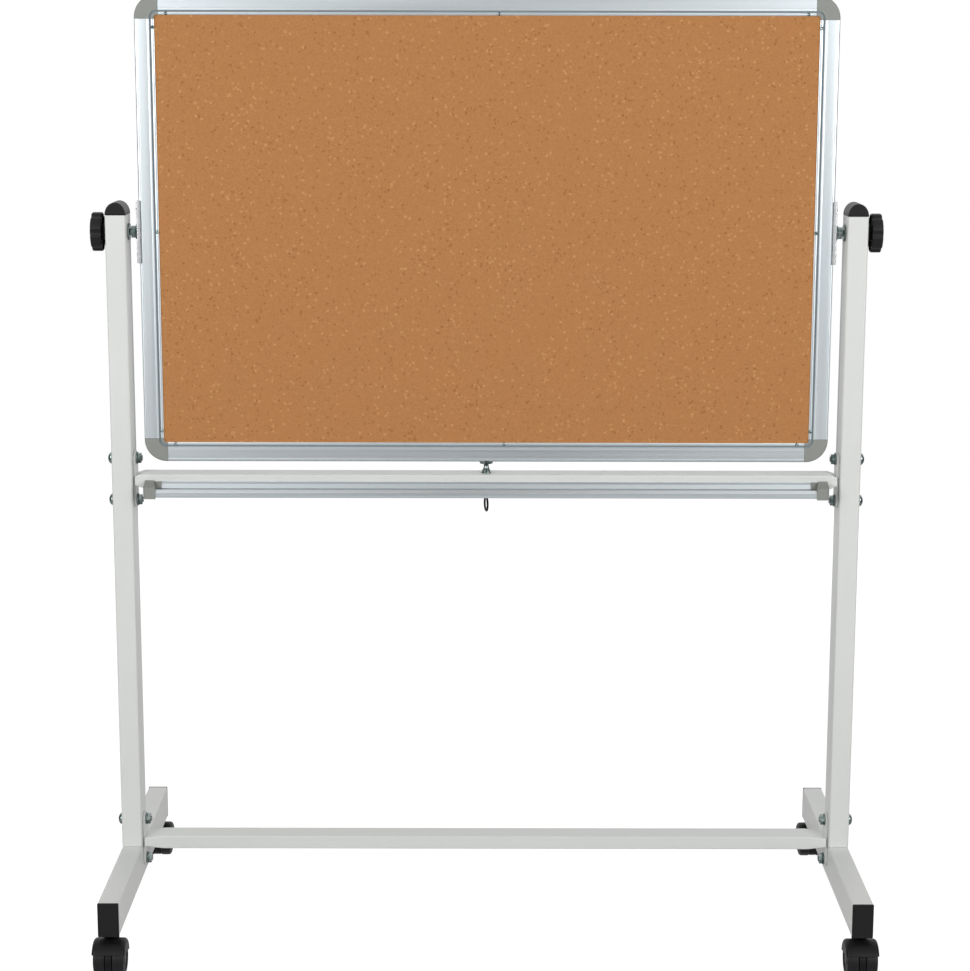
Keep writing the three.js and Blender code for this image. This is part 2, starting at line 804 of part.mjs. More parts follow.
const corners = [
  ['bottom_left_corner', -1, -1],
  ['bottom_right_corner', 1, -1],
  ['top_left_corner', -1, 1],
  ['top_right_corner', 1, 1],
];
for (const [name, alongSign, upSign] of corners) {
  let body = solid(cornerGeometry());
  if (alongSign > 0) body = body.mirror([1, 0, 0]);
  if (upSign > 0) body = body.mirror([0, 0, 1]);
  const corner = addPiece(name, geometryOf(body), greyPlastic, board);
  corner.position.set((alongSign * boardWide) / 2, 0, (upSign * boardHigh) / 2);
}

// Panel: cork in front, a light core, and the whiteboard sheet behind
const panelFront = -slotHalf + seatGap;
const coreFront = panelFront + corkThick + seatGap;
const sheetBack = slotHalf - seatGap;
const sheetFront = sheetBack - sheetThick;
const panelX = boardWide / 2 - panelInset;
const panelZ = boardHigh / 2 - panelInset;
const layers = [
  ['cork_panel', panelFront, panelFront + corkThick, corkBrown],
  ['core_panel', coreFront, sheetFront - seatGap, boardCore],
  ['whiteboard_panel', sheetFront, sheetBack, whiteEnamel],
];
for (const [name, front, back, finish] of layers) {
  addPiece(name, box([-panelX, front, -panelZ], [panelX, back, panelZ]), finish, board);
}

// Striker: a flanged bush under the bottom rail that takes the latch pin
const strikerSeat = -boardHigh / 2 - seatGap;
addPiece('latch_striker', turnedZ([
  [pinTipRadius + runGap, strikerSeat - strikerThick],
  [strikerRadius, strikerSeat - strikerThick],
  [strikerRadius, strikerSeat],
  [strikerNeckRadius, strikerSeat],
  [strikerNeckRadius, strikerSeat + strikerNeckLong],
  [pinTipRadius + runGap, strikerSeat + strikerNeckLong],
  [pinTipRadius + runGap, strikerSeat - strikerThick],
]), zincMetal, board);

// Pivot plates: a channel that wraps the rail's outer edge, with the hole of the stud
function pivotPlateGeometry() {
  const low = halfBoard + seatGap;
  const wrap = halfBoard - pivotFlangeReach;
  const inner = boardThick / 2 + seatGap;
  const outer = inner + pivotFlangeThick;
  const channel = polygon([
    [wrap, -outer],
    [low + pivotPlateThick - pivotFlangeThick, -outer],
    [low + pivotPlateThick, -inner],
    [low + pivotPlateThick, inner],
    [low + pivotPlateThick - pivotFlangeThick, outer],
    [wrap, outer],
    [wrap, inner],
    [low, inner],
    [low, -inner],
    [wrap, -inner],
  ]);
  const plate = alongZ(channel, -pivotPlateHigh / 2, pivotPlateHigh / 2);
  return cutAway(plate, rodX(studRadius + seatGap, low - overrun, low + pivotPlateThick + overrun));
}

// Pivot studs and washers
const plateFace = halfBoard + seatGap + pivotPlateThick;
const knobSeat = postOuter + seatGap;

function studGeometry() {
  const headEnd = halfBoard - railWall - seatGap;
  const flangeStart = plateFace + seatGap;
  const flangeEnd = flangeStart + studFlangeThick;
  const tip = knobSeat + knobThreadLong;
  const turned = turnedX([
    [0, headEnd - studHeadThick],
    [studHeadRadius, headEnd - studHeadThick],
    [studHeadRadius, headEnd],
    [studRadius, headEnd],
    [studRadius, flangeStart],
    [studFlangeRadius, flangeStart],
    [studFlangeRadius, flangeEnd],
    [studRadius, flangeEnd],
    [studRadius, tip],
    [0, tip],
  ], turnedSides);
  const nutStart = flangeEnd - studFlangeThick / 2;
  const nut = alongX(regularPolygon(nutSides, studNutAcross), nutStart, flangeEnd + studNutHigh);
  return joined(turned, nut);
}

function washerGeometry() {
  const outer = postInner - seatGap;
  return turnedX([
    [studRadius + runGap, outer - washerThick],
    [washerRadius, outer - washerThick],
    [washerRadius, outer],
    [studRadius + runGap, outer],
    [studRadius + runGap, outer - washerThick],
  ]);
}

// Clamp knob, drawn outwards along +X: scalloped rim, domed face, ribbed hollow back, boss
function knobOutline() {
  const points = [];
  const halfScallop = Math.acos(1 - (knobScallopDeep / knobScallopRadius));
  for (let lobe = 0; lobe < knobLobes; lobe += 1) {
    const middle = (Math.PI * 2 * lobe) / knobLobes + Math.PI;
    const centre = knobRadius + knobScallopRadius - knobScallopDeep;
    for (let k = -lobeSteps / 2; k <= lobeSteps / 2; k += 1) {
      const turn = (halfScallop * 2 * k) / lobeSteps;
      const inwards = centre - knobScallopRadius * Math.cos(turn);
      const across = knobScallopRadius * Math.sin(turn);
      const reach = Math.min(Math.hypot(inwards, across), knobRadius);
      const angle = middle + Math.atan2(across, inwards);
      points.push([reach * Math.cos(angle), reach * Math.sin(angle)]);
    }
    const edge = Math.atan2(knobScallopRadius * Math.sin(halfScallop), knobRadius);
    const rest = (Math.PI * 2) / knobLobes - edge * 2;
    for (let k = 1; k < lobeSteps; k += 1) {
      const angle = middle + edge + (rest * k) / lobeSteps;
      points.push([knobRadius * Math.cos(angle), knobRadius * Math.sin(angle)]);
    }
  }
  return polygon(points);
}

function knobGeometry() {
  const rimStart = knobSeat + knobBossLong;
  const rimEnd = rimStart + knobThick - knobDome;
  const rim = alongX(knobOutline(), rimStart, rimEnd, { bevel: knobBevel });
  const domeRadius = knobRadius - knobScallopDeep - knobBevel;
  const domeShares = [1, 0.8, 0.55, 0.28, 0];
  const dome = turnedX([
    [0, rimEnd - knobSkin / 2],
    [domeRadius, rimEnd - knobSkin / 2],
    ...domeShares.map((share) => [domeRadius * share, rimEnd + knobDome * (1 - share * share)]),
  ], turnedSides);
  const boss = rodX(knobBossRadius, knobSeat, rimEnd - knobSkin, turnedSides);
  const hollowOuter = knobRadius - knobScallopDeep - knobWall;
  const hollow = rodX(hollowOuter, rimStart - overrun, rimEnd - knobSkin, turnedSides);
  const rib = (k) => box(
    [rimStart + knobBevel, -knobRibThick / 2, 0],
    [rimEnd - knobSkin / 2, knobRibThick / 2, hollowOuter + knobWall / 2],
  ).rotateX((Math.PI * 2 * (k + 1 / 2)) / knobLobes);
  const ribs = Array.from({ length: knobLobes }, (_, k) => rib(k));
  const bore = rodX(studRadius + runGap, knobSeat - overrun, knobSeat + knobThreadLong + seatGap);
  return cutAway(joined(cutAway(rim, hollow), dome, boss, ...ribs), bore);
}

for (const { side, sign } of sides) {
  const turn = sign > 0 ? 0 : Math.PI;
  const pieces = [
    [`${side}_pivot_plate`, pivotPlateGeometry(), zincMetal],
    [`${side}_pivot_stud`, studGeometry(), zincMetal],
    [`${side}_pivot_washer`, washerGeometry(), zincMetal],
    [`${side}_knob`, knobGeometry(), blackPlastic],
  ];
  for (const [name, geometry, finish] of pieces) {
    addPiece(name, geometry, finish, board).rotation.z = turn;
  }
}

// Casters: a hood with its web, axle and stem, and a wheel at each side.
// The stem is at the origin and the wheels trail towards +Y.
const wheelGap = webThick / 2 + runGap;
const hoodInner = wheelRadius + runGap * 2;
const hoodOuter = hoodInner + hoodWall;
const cheekInner = wheelGap + wheelWide + runGap;

function hoodGeometry() {
  const axlePlace = [casterTrail, wheelRadius];
  const cheekOuter = cheekInner + hoodCheek;
  const shoulder = arcPoints([hoodOuter - hoodRound, cheekOuter - hoodRound], hoodRound, 90, 0, cornerSteps);
  const rim = shoulder.map(([radius, place]) => [radius, -place]).concat(shoulder.toReversed());
  const full = turnedX([[0, -cheekOuter], ...rim, [0, cheekOuter]], wheelSides * 2);
  const below = alongX(polygon(
    arcPoints([0, 0], hoodOuter + overrun, hoodFrontAngle, hoodBackAngle + fullTurnAngle, archSteps),
  ), -cheekOuter - overrun, cheekOuter + overrun);
  const hood = cutAway(full, below).translate(0, ...axlePlace);
  const wheelRoom = turnedX([
    [0, webThick / 2],
    [hoodInner, webThick / 2],
    [hoodInner, cheekInner - wheelEdge],
    [hoodInner - wheelEdge, cheekInner],
    [0, cheekInner],
  ], wheelSides);
  const rooms = [0, Math.PI].map((turn) =>
    wheelRoom.clone().rotateY(turn).translate(0, casterTrail, wheelRadius));
  const neck = rodZ(neckRadius, casterHigh - neckSink, casterHigh - seatGap, turnedSides);
  const stem = rodZ(stemRadius, casterHigh - neckSink, casterHigh + stemLong - seatGap, holeSides);
  const web = rodX(webRadius, -webThick / 2, webThick / 2, turnedSides).translate(0, ...axlePlace);
  const axleEnd = wheelGap + wheelWide - wheelDish - wheelCapThick;
  const axle = rodX(axleRadius, -axleEnd, axleEnd, holeSides).translate(0, ...axlePlace);
  return joined(cutAway(joined(hood, neck, stem), ...rooms), web, axle);
}

// The wheel is drawn along +X: its blind bore, its inner face, the tread and the dished face
function wheelGeometry() {
  const dish = wheelWide - wheelDish;
  const bore = dish - wheelCapThick + seatGap;
  return turnedX([
    [0, bore],
    [axleRadius + runGap, bore],
    [axleRadius + runGap, 0],
    [wheelRadius - wheelEdge, 0],
    [wheelRadius, wheelEdge],
    [wheelRadius, wheelWide - wheelEdge],
    [wheelRadius - wheelRimWide, wheelWide],
    [wheelRadius - wheelRimWide - wheelDish, dish],
    [wheelCapRadius, dish],
    [0, dish + wheelCapRise],
  ], wheelSides);
}

for (const { side, sign } of sides) {
  for (const [end, way] of [['front', -1], ['back', 1]]) {
    const caster = new THREE.Group();
    caster.position.set(sign * postX, way * casterY, 0);
    caster.rotation.z = way < 0 ? Math.PI : 0;
    part.add(caster);
    addPiece(`${side}_${end}_caster`, hoodGeometry(), blackPlastic, caster);
    for (const [wheel, place] of [['left', -1], ['right', 1]]) {
      const mesh = addPiece(`${side}_${end}_${wheel}_wheel`, wheelGeometry(), wheelPlastic, caster);
      mesh.position.set(place * wheelGap, casterTrail, wheelRadius);
      mesh.rotation.z = place > 0 ? 0 : Math.PI;
    }
  }
}

export default part;
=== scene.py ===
# %% [markdown]
# # A reversible board on a rolling stand
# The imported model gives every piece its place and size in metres. This lesson dresses it: each
# visible piece is modelled again with the soft edges and fine parts of the real one, and every
# surface gets a procedural finish. We begin by loading the frame and keeping its box.

# %% Load the frame
from math import atan2, cos, hypot, pi, radians, sin

import bmesh
import bpy
from mathutils import Matrix, Vector

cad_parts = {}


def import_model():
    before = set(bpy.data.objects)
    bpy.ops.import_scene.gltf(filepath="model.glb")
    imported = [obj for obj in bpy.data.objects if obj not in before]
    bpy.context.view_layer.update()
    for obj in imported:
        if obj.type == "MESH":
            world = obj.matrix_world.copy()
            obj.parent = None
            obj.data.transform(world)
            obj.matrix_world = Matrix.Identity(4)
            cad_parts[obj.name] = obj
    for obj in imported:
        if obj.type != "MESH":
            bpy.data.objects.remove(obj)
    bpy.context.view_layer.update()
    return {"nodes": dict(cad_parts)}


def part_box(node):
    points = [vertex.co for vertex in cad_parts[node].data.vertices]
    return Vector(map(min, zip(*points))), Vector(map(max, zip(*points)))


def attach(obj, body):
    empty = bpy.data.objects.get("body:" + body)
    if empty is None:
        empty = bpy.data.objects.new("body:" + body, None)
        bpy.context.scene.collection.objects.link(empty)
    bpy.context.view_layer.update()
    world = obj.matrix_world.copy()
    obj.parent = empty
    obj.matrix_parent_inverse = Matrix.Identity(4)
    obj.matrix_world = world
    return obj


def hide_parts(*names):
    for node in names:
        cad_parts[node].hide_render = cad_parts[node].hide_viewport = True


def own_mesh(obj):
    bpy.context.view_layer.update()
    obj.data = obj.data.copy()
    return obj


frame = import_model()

# %% [markdown]
# ## Camera
# The view comes from a least-squares fit to the photograph: a level tripod a little above the
# board, tilted down by eleven degrees. The focal length is in pixels of a 971-pixel side, and
# Blender wants it in millimetres on a 36 mm sensor, so one is worked out from the other.

# %% The camera
image_side = 971
focal_pixels = 2329.6
sensor_wide = 36.0
camera_place = Vector((-0.0063, -3.3686, 1.3093))
camera_pitch = radians(-10.91)
camera_yaw = radians(-0.077)
camera_roll = radians(0.12)

camera_data = bpy.data.cameras.new("camera")
camera_data.sensor_width = sensor_wide
camera_data.lens = focal_pixels / image_side * sensor_wide
camera = bpy.data.objects.new("camera", camera_data)
turn = Matrix.Rotation(camera_yaw, 4, "Z") @ Matrix.Rotation(pi / 2 + camera_pitch, 4, "X")
camera.matrix_world = Matrix.Translation(camera_place) @ turn @ Matrix.Rotation(camera_roll, 4, "Z")
bpy.context.scene.collection.objects.link(camera)
bpy.context.scene.camera = camera
print("lens", round(camera_data.lens, 1), "mm")

# %% [markdown]
# ## Shader helpers
# A node tree is easier to read as arithmetic. `Value` wraps a socket, so that `1 - mask * 0.5`
# adds its Math nodes by itself, and `Finish` opens a material and adds any other node from its
# type, its settings and its inputs. `socket_called` finds an input by its plain name.

# %% Sockets as numbers
def socket_called(sockets, name):
    return next(socket for socket in sockets if socket.name.lower() == name.replace("_", " "))


class Value:
    def __init__(self, finish, socket):
        self.finish = finish
        self.socket = socket

    def math(self, operation, *inputs):
        return self.finish.node("ShaderNodeMath", {"operation": operation}, *inputs)

    def __add__(self, other):
        return self.math("ADD", self, other)

    def __sub__(self, other):
        return self.math("SUBTRACT", self, other)

    def __rsub__(self, other):
        return self.math("SUBTRACT", other, self)

    def __mul__(self, other):
        return self.math("MULTIPLY", self, other)

    __radd__ = __add__
    __rmul__ = __mul__


# %% [markdown]
# A `Finish` is one material with its Principled shader. Constants are set on the shader's own
# sockets and only what varies is linked.

# %% Materials as objects
class Finish:
    def __init__(self, name, **constants):
        self.material = bpy.data.materials.new(name)
        self.material.use_nodes = True
        self.tree = self.material.node_tree
        self.shader = self.tree.nodes["Principled BSDF"]
        for socket, value in constants.items():
            socket_called(self.shader.inputs, socket).default_value = value
        self.place = self.node("ShaderNodeTexCoord", output="Object")

    def node(self, kind, settings=None, *inputs, output=0, **named):
        made = self.tree.nodes.new(kind)
        for setting, value in (settings or {}).items():
            setattr(made, setting, value)
        for place, value in enumerate(inputs):
            self.feed(made.inputs[place], value)
        for name, value in named.items():
            self.feed(socket_called(made.inputs, name), value)
        return Value(self, made.outputs[output])

    def feed(self, socket, value):
        if isinstance(value, Value):
            self.tree.links.new(value.socket, socket)
        else:
            socket.default_value = value

    def noise(self, scale, detail=2.0, stretch=(1, 1, 1)):
        where = self.node("ShaderNodeMapping", None, self.place, scale=stretch)
        return self.node("ShaderNodeTexNoise", None, where, scale=scale, detail=detail)

    def ramp(self, factor, low, high):
        return self.node("ShaderNodeMapRange", None, factor, low, high)

    def blend(self, factor, first, second):
        made = self.tree.nodes.new("ShaderNodeMix")
        made.data_type = "RGBA"
        colours = [socket for socket in made.inputs if socket.type == "RGBA"]
        self.feed(made.inputs["Factor"], factor)
        self.feed(colours[0], first)
        self.feed(colours[1], second)
        return Value(self, next(socket for socket in made.outputs if socket.type == "RGBA"))

    def bump(self, height, strength, distance):
        normal = self.node("ShaderNodeBump", None, height=height, strength=strength,
                           distance=distance)
        self.feed(self.shader.inputs["Normal"], normal)

    def give(self, **links):
        for socket, value in links.items():
            self.feed(socket_called(self.shader.inputs, socket), value)


def rgb(red, green, blue):
    """A colour as it is seen on a screen, 0 to 255, for Blender's linear sockets."""
    steps = [value / 255 for value in (red, green, blue)]
    linear = [step / 12.92 if step <= 0.04045 else ((step + 0.055) / 1.055) ** 2.4 for step in steps]
    return (*linear, 1.0)


# %% [markdown]
# ## Finishes
# The stand is powder coated: a flat colour under the finest orange peel, with faint cloudiness
# where the coat is thinner. The bump is tiny, or the tube looks like leather.

# %% Powder coat
def powder_coat():
    finish = Finish("powder_coat", coat_weight=0.15, coat_roughness=0.25)
    cloud = finish.noise(9, 3)
    peel = finish.noise(900, 1)
    colour = finish.blend(cloud, rgb(227, 229, 226), rgb(232, 234, 231))
    finish.give(base_color=colour, roughness=finish.ramp(cloud, 0.3, 0.7) * 0.08 + 0.34)
    finish.bump(peel, 0.12, 0.0002)
    return finish.material


# %% [markdown]
# The frame's rails are anodised aluminium, drawn through a die, so their grain runs along them.
# Noise stretched a hundredfold along the rail gives that. One material runs its grain along X
# and the other along Z, because both read plain object coordinates.

# %% Anodised aluminium
def anodised(name, stretch):
    finish = Finish(name, metallic=0.9)
    grain = finish.noise(60, 3, stretch)
    fine = finish.noise(240, 2, stretch)
    cloud = finish.noise(3, 2)
    colour = finish.blend(grain, rgb(212, 220, 223), rgb(221, 228, 230))
    tinted = finish.blend(cloud * 0.5, colour, rgb(213, 221, 228))
    finish.give(base_color=tinted, roughness=fine * 0.12 + grain * 0.06 + 0.25)
    finish.bump(fine, 0.08, 0.0002)
    return finish.material


# %% [markdown]
# Moulded plastic has a fine spark-eroded grain and collects a little dust on its broad faces.
# The same recipe makes the grey corners and the black caps, knobs and casters.

# %% Moulded plastics
def moulded(name, dark, light, rough, gloss=0.4, grain_scale=1400):
    finish = Finish(name, specular_ior_level=gloss)
    cloud = finish.noise(25, 3)
    grain = finish.noise(grain_scale, 1)
    finish.give(base_color=finish.blend(cloud, dark, light), roughness=cloud * 0.1 + rough)
    finish.bump(grain, 0.15, 0.0002)
    return finish.material


# %% [markdown]
# Bolts, studs and the latch are zinc plated: bright metal with the bluish-green cast of the
# passivation, in soft patches, and a few duller spots.

# %% Zinc plate
def zinc_plate(name, dark, light, rough):
    finish = Finish(name, metallic=1.0)
    patch = finish.noise(120, 4)
    spots = finish.noise(700, 2)
    tint = finish.ramp(patch, 0.35, 0.65)
    finish.give(base_color=finish.blend(tint, dark, light), roughness=spots * 0.16 + rough)
    finish.bump(spots, 0.05, 0.0001)
    return finish.material


def spring_wire():
    finish = Finish("spring_wire", metallic=1.0)
    streak = finish.noise(400, 2)
    colour = finish.blend(streak, rgb(120, 124, 128), rgb(168, 171, 174))
    finish.give(base_color=colour, roughness=streak * 0.2 + 0.25)
    return finish.material


# %% [markdown]
# Cork board is pressed from granules one to three millimetres wide. A Voronoi texture gives
# each granule its own shade, warped a little by noise so that none is a clean polygon. A finer
# one scatters dark bark flecks, and another a few pale chips. The bump lets each granule stand
# apart from the next.

# %% Cork
def cork_sheet():
    finish = Finish("cork_sheet", specular_ior_level=0.2)
    warp = finish.node("ShaderNodeTexNoise", None, finish.place, scale=500.0, detail=2.0, output="Color")
    bend = finish.node("ShaderNodeVectorMath", {"operation": "SCALE"}, warp, scale=0.0016)
    where = finish.node("ShaderNodeVectorMath", {"operation": "ADD"}, finish.place, bend)
    grain = finish.node("ShaderNodeTexVoronoi", None, where, scale=520.0, output="Color")
    shade = finish.node("ShaderNodeSeparateColor", None, grain, output="Red")
    fleck = finish.node("ShaderNodeTexVoronoi", None, where, scale=330.0, output="Color")
    bark = finish.node("ShaderNodeSeparateColor", None, fleck, output="Blue")
    chip = finish.node("ShaderNodeSeparateColor", None, fleck, output="Green")
    cloud = finish.noise(14, 4)
    base = finish.blend(shade, rgb(181, 125, 76), rgb(193, 137, 86))
    warm = finish.blend(finish.ramp(cloud, 0.3, 0.7) * 0.4, base, rgb(189, 130, 79))
    dark = finish.blend(finish.ramp(bark, 0.95, 0.98) * 0.5, warm, rgb(150, 97, 54))
    pale = finish.blend(finish.ramp(chip, 0.96, 0.98) * 0.45, dark, rgb(220, 168, 112))
    edge = finish.node("ShaderNodeTexVoronoi", {"feature": "DISTANCE_TO_EDGE"}, where, scale=520.0)
    finish.give(base_color=pale, roughness=shade * 0.12 + 0.78)
    finish.bump(finish.ramp(edge, 0.0, 0.12), 0.2, 0.0003)
    return finish.material


# %% [markdown]
# The whiteboard is lacquered steel: glossy, with a breath of ripple in the reflections and the
# faintest smears that dry wiping leaves. The core behind it is raw fibreboard.

# %% Whiteboard and core
def lacquer():
    finish = Finish("dry_wipe_lacquer", coat_weight=0.4, coat_roughness=0.05)
    smear = finish.noise(6, 4, (1, 1, 2.5))
    ripple = finish.noise(40, 1)
    colour = finish.blend(smear, rgb(240, 242, 243), rgb(246, 247, 247))
    finish.give(base_color=colour, roughness=smear * 0.14 + 0.08)
    finish.bump(ripple, 0.03, 0.0003)
    return finish.material


def fibreboard():
    finish = Finish("fibreboard")
    fibre = finish.noise(300, 4, (1, 4, 1))
    colour = finish.blend(fibre, rgb(150, 118, 84), rgb(186, 152, 112))
    finish.give(base_color=colour, roughness=fibre * 0.2 + 0.7)
    return finish.material


# %% [markdown]
# With the recipes written, the finishes of this object are a short list. The groove of the rails
# and the rounded edges of the pivot plates have a darker finish of their own, because they lie in
# shade or mirror the dark side of the room.

# %% The object's finishes
cream = powder_coat()
silver_x = anodised("anodised_along_x", (0.01, 1, 1))
silver_z = anodised("anodised_along_z", (1, 1, 0.01))
grey = moulded("grey_plastic", rgb(141, 144, 139), rgb(151, 153, 148), 0.42)
black = moulded("black_plastic", rgb(23, 23, 24), rgb(30, 30, 32), 0.36, 0.22)
hood_black = moulded("hood_plastic", rgb(13, 13, 14), rgb(19, 19, 21), 0.36, 0.18)
nylon = moulded("wheel_nylon", rgb(18, 18, 20), rgb(27, 27, 29), 0.32, 0.25)
# The zinc's colours are much darker than bare zinc: the real bluish-green passivation tint, darkened
# further as a painted dark reflection.
zinc = zinc_plate("zinc_plate", rgb(72, 90, 88), rgb(146, 158, 156), 0.06)
bright = zinc_plate("bright_plate", rgb(232, 234, 236), rgb(242, 243, 244), 0.14)
groove_shade = moulded("groove_shade", rgb(126, 139, 145), rgb(140, 152, 158), 0.5)
# Painted dark reflection: a darker zinc for the rounded corners of the pivot plates.
plate_edge_painted_reflection = zinc_plate("plate_edge_painted_reflection", rgb(96, 100, 104), rgb(140, 144, 148), 0.2)
dark_wire = zinc_plate("ring_wire", rgb(22, 23, 24), rgb(44, 45, 47), 0.2)
print("materials", len(bpy.data.materials))

# %% [markdown]
# ## Modelling helpers
# Nearly every piece is one of three things: a block with rounded edges, a turned piece, or an
# outline drawn along an axis. Each helper starts from a bmesh primitive or a few vertices and
# leaves the work to an operator. `finished` welds the mesh, turns its faces outwards, marks
# edges sharper than 35 degrees, and hangs the object on its body. It takes one material, or two
# where some faces differ. A Weighted Normal modifier keeps the wide faces flat beside their
# narrow bevels, or their shading would bulge.

# %% From bmesh to finished piece
weld = 1e-6
sharp_angle = radians(35)
flat_weight = 90


def finished(name, bm, material, body, slot, *nodes):
    bmesh.ops.remove_doubles(bm, verts=bm.verts, dist=weld)
    bmesh.ops.recalc_face_normals(bm, faces=bm.faces)
    mesh = bpy.data.meshes.new(name)
    bm.to_mesh(mesh)
    bm.free()
    mesh.shade_smooth()
    mesh.set_sharp_from_angle(angle=sharp_angle)
    for part in material if isinstance(material, tuple) else (material,):
        mesh.materials.append(part)
    piece = bpy.data.objects.new(name, mesh)
    bpy.context.scene.collection.objects.link(piece)
    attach(piece, body)
    if nodes:
        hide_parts(*nodes)
    weighted = piece.modifiers.new("flat_faces", "WEIGHTED_NORMAL")
    weighted.weight = flat_weight
    weighted.keep_sharp = True
    return piece


def gathered(*parts):
    whole = bmesh.new()
    for part in parts:
        carrier = bpy.data.meshes.new("carrier")
        part.to_mesh(carrier)
        part.free()
        whole.from_mesh(carrier)
        bpy.data.meshes.remove(carrier)
    return whole


# %% [markdown]
# A block is a cube scaled to its two corners. `soften` bevels the edges that run along one
# axis, and `soften_rim` those around the two ends.

# %% Blocks
straight = 0.999


def block(low, high):
    low, high = Vector(low), Vector(high)
    bm = bmesh.new()
    bmesh.ops.create_cube(bm, size=1)
    bmesh.ops.scale(bm, vec=high - low, verts=bm.verts)
    bmesh.ops.translate(bm, vec=(low + high) / 2, verts=bm.verts)
    return bm


def runs_along(edge, axis):
    way = (edge.verts[1].co - edge.verts[0].co).normalized()
    return abs(way[axis]) > straight


def bevelled(bm, edges, radius, segments):
    bmesh.ops.bevel(bm, geom=edges, offset=radius, segments=segments, profile=0.5, affect="EDGES",
                    material=-1, clamp_overlap=True)


def soften(bm, axis, radius, segments=6, keep=lambda edge: True):
    bevelled(bm, [e for e in bm.edges if runs_along(e, axis) and keep(e)], radius, segments)


def soften_rim(bm, axis, radius, segments=3):
    ends = [f for f in bm.faces if abs(f.normal[axis]) > straight]
    rim = {e for f in ends for e in f.edges if not all(other in ends for other in e.link_faces)}
    bevelled(bm, list(rim), radius, segments)


# %% [markdown]
# A turned piece is a profile of radius and height, spun a full turn. A drawn piece is an
# outline filled with one face and extruded. Both take the axis as 0, 1 or 2.

# %% Turned and drawn pieces
def on_axis(axis, along, across, up):
    """A point given along an axis, and across it in the two other directions."""
    return Vector({0: (along, across, up), 1: (across, along, up), 2: (across, up, along)}[axis])


def turned(profile, axis, centre, steps=48, way=1):
    centre = Vector(centre)
    bm = bmesh.new()
    spots = [bm.verts.new(centre + on_axis(axis, way * height, radius, 0)) for radius, height in profile]
    lines = [bm.edges.new(pair) for pair in zip(spots, spots[1:])]
    bmesh.ops.spin(bm, geom=spots + lines, cent=centre, axis=on_axis(axis, 1, 0, 0), angle=2 * pi,
                   steps=steps, use_merge=True)
    bmesh.ops.remove_doubles(bm, verts=bm.verts, dist=weld)
    bmesh.ops.recalc_face_normals(bm, faces=bm.faces)
    return bm


def drawn(outline, axis, low, high):
    bm = bmesh.new()
    spots = [bm.verts.new(on_axis(axis, low, across, up)) for across, up in outline]
    lines = [bm.edges.new(pair) for pair in zip(spots, spots[1:] + spots[:1])]
    face = bmesh.ops.contextual_create(bm, geom=lines)["faces"]
    far = bmesh.ops.extrude_face_region(bm, geom=face)["geom"]
    moved = [v for v in far if isinstance(v, bmesh.types.BMVert)]
    bmesh.ops.translate(bm, vec=on_axis(axis, high - low, 0, 0), verts=moved)
    bmesh.ops.recalc_face_normals(bm, faces=bm.faces)
    return bm


def arc(centre, radius, start, end, steps=8):
    """Points on an arc, in degrees. The radius may be a pair for an ellipse."""
    wide, high = radius if isinstance(radius, tuple) else (radius, radius)
    angles = [radians(start + (end - start) * k / steps) for k in range(steps + 1)]
    return [(centre[0] + wide * cos(a), centre[1] + high * sin(a)) for a in angles]


def hexagon(across, axis, low, high, centre, chamfer=0.0006):
    bm = drawn(arc((0, 0), across / 2 / cos(pi / 6), 0, 300, 5), axis, low, high)
    soften_rim(bm, axis, chamfer, 2)
    bmesh.ops.translate(bm, vec=centre, verts=bm.verts)
    return bm


# %% [markdown]
# ## Posts and feet
# Both are the same steel tube, fifty by thirty millimetres with a three-millimetre corner. A
# cube with its four long edges bevelled is that tube from outside, and the caps close its ends.
# The frame gives the box of each tube, so nothing is measured twice.

# %% Posts and feet
tube_round = 0.003
tube_edge = 0.0005
for side in ("left", "right"):
    for kind, axis in (("post", 2), ("foot", 1)):
        low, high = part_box(f"{side}_{kind}")
        tube = block(low, high)
        soften(tube, axis, tube_round)
        soften_rim(tube, axis, tube_edge, 2)
        finished(f"{side}_{kind}_tube", tube, cream, "stand", "cream_paint", f"{side}_{kind}")
print("posts and feet", 4)

# %% [markdown]
# The post cap is an arched roof over the tube. Its front is half an ellipse, drawn through the
# depth of the post, and a bevel takes the sharpness off the arch's front and back. The foot cap
# is a shallow plate. Its face is sunk first, while it still has four corners, and the outer
# edges are rounded after that.

# %% Caps of posts and feet
seat_gap = 0.0003
cap_edge = 0.0016
cap_corner = 0.0015
sunk_rim = 0.0022
sunk_step = 0.0008
sunk_deep = 0.0006
for side in ("left", "right"):
    post_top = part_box(f"{side}_post")[1].z
    low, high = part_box(f"{side}_post_cap")
    base = post_top + seat_gap
    arch = arc(((low.x + high.x) / 2, base), ((high.x - low.x) / 2, high.z - base), 0, 180, 32)
    dome = drawn(arch, 1, low.y, high.y)
    soften_rim(dome, 1, cap_edge)
    finished(f"{side}_post_dome", dome, black, "stand", "black_plastic", f"{side}_post_cap")
    foot_low, foot_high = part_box(f"{side}_foot")
    for end, way in (("front", -1), ("back", 1)):
        low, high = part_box(f"{side}_{end}_foot_cap")
        outer, inner = (low.y, foot_low.y - seat_gap) if way < 0 else (high.y, foot_high.y + seat_gap)
        cap = block((low.x, min(outer, inner), low.z), (high.x, max(outer, inner), high.z))
        face = [f for f in cap.faces if f.normal.y * way > straight]
        bmesh.ops.inset_region(cap, faces=face, thickness=sunk_rim)
        bmesh.ops.inset_region(cap, faces=face, thickness=sunk_step, depth=-sunk_deep)
        soften(cap, 1, cap_corner, 4)
        walls = [f for f in cap.faces if abs(f.normal.y) < 1 - straight]
        ends = {e for f in cap.faces if abs(f.normal.y) > straight for e in f.edges}
        bevelled(cap, [e for e in ends if any(f in walls for f in e.link_faces)], sunk_step, 3)
        finished(f"{side}_{end}_foot_plug", cap, black, "stand", "black_plastic", f"{side}_{end}_foot_cap")
print("caps", 6)

# %% [markdown]
# ## Crossbars
# Each bar is a flat tube with an upright plate welded to both ends. The press that squares the
# end pinches the tube, so its top and bottom draw in before they reach the plate. We cut the bar
# at a few stations with bisect_plane and squeeze the new rings by a cosine.

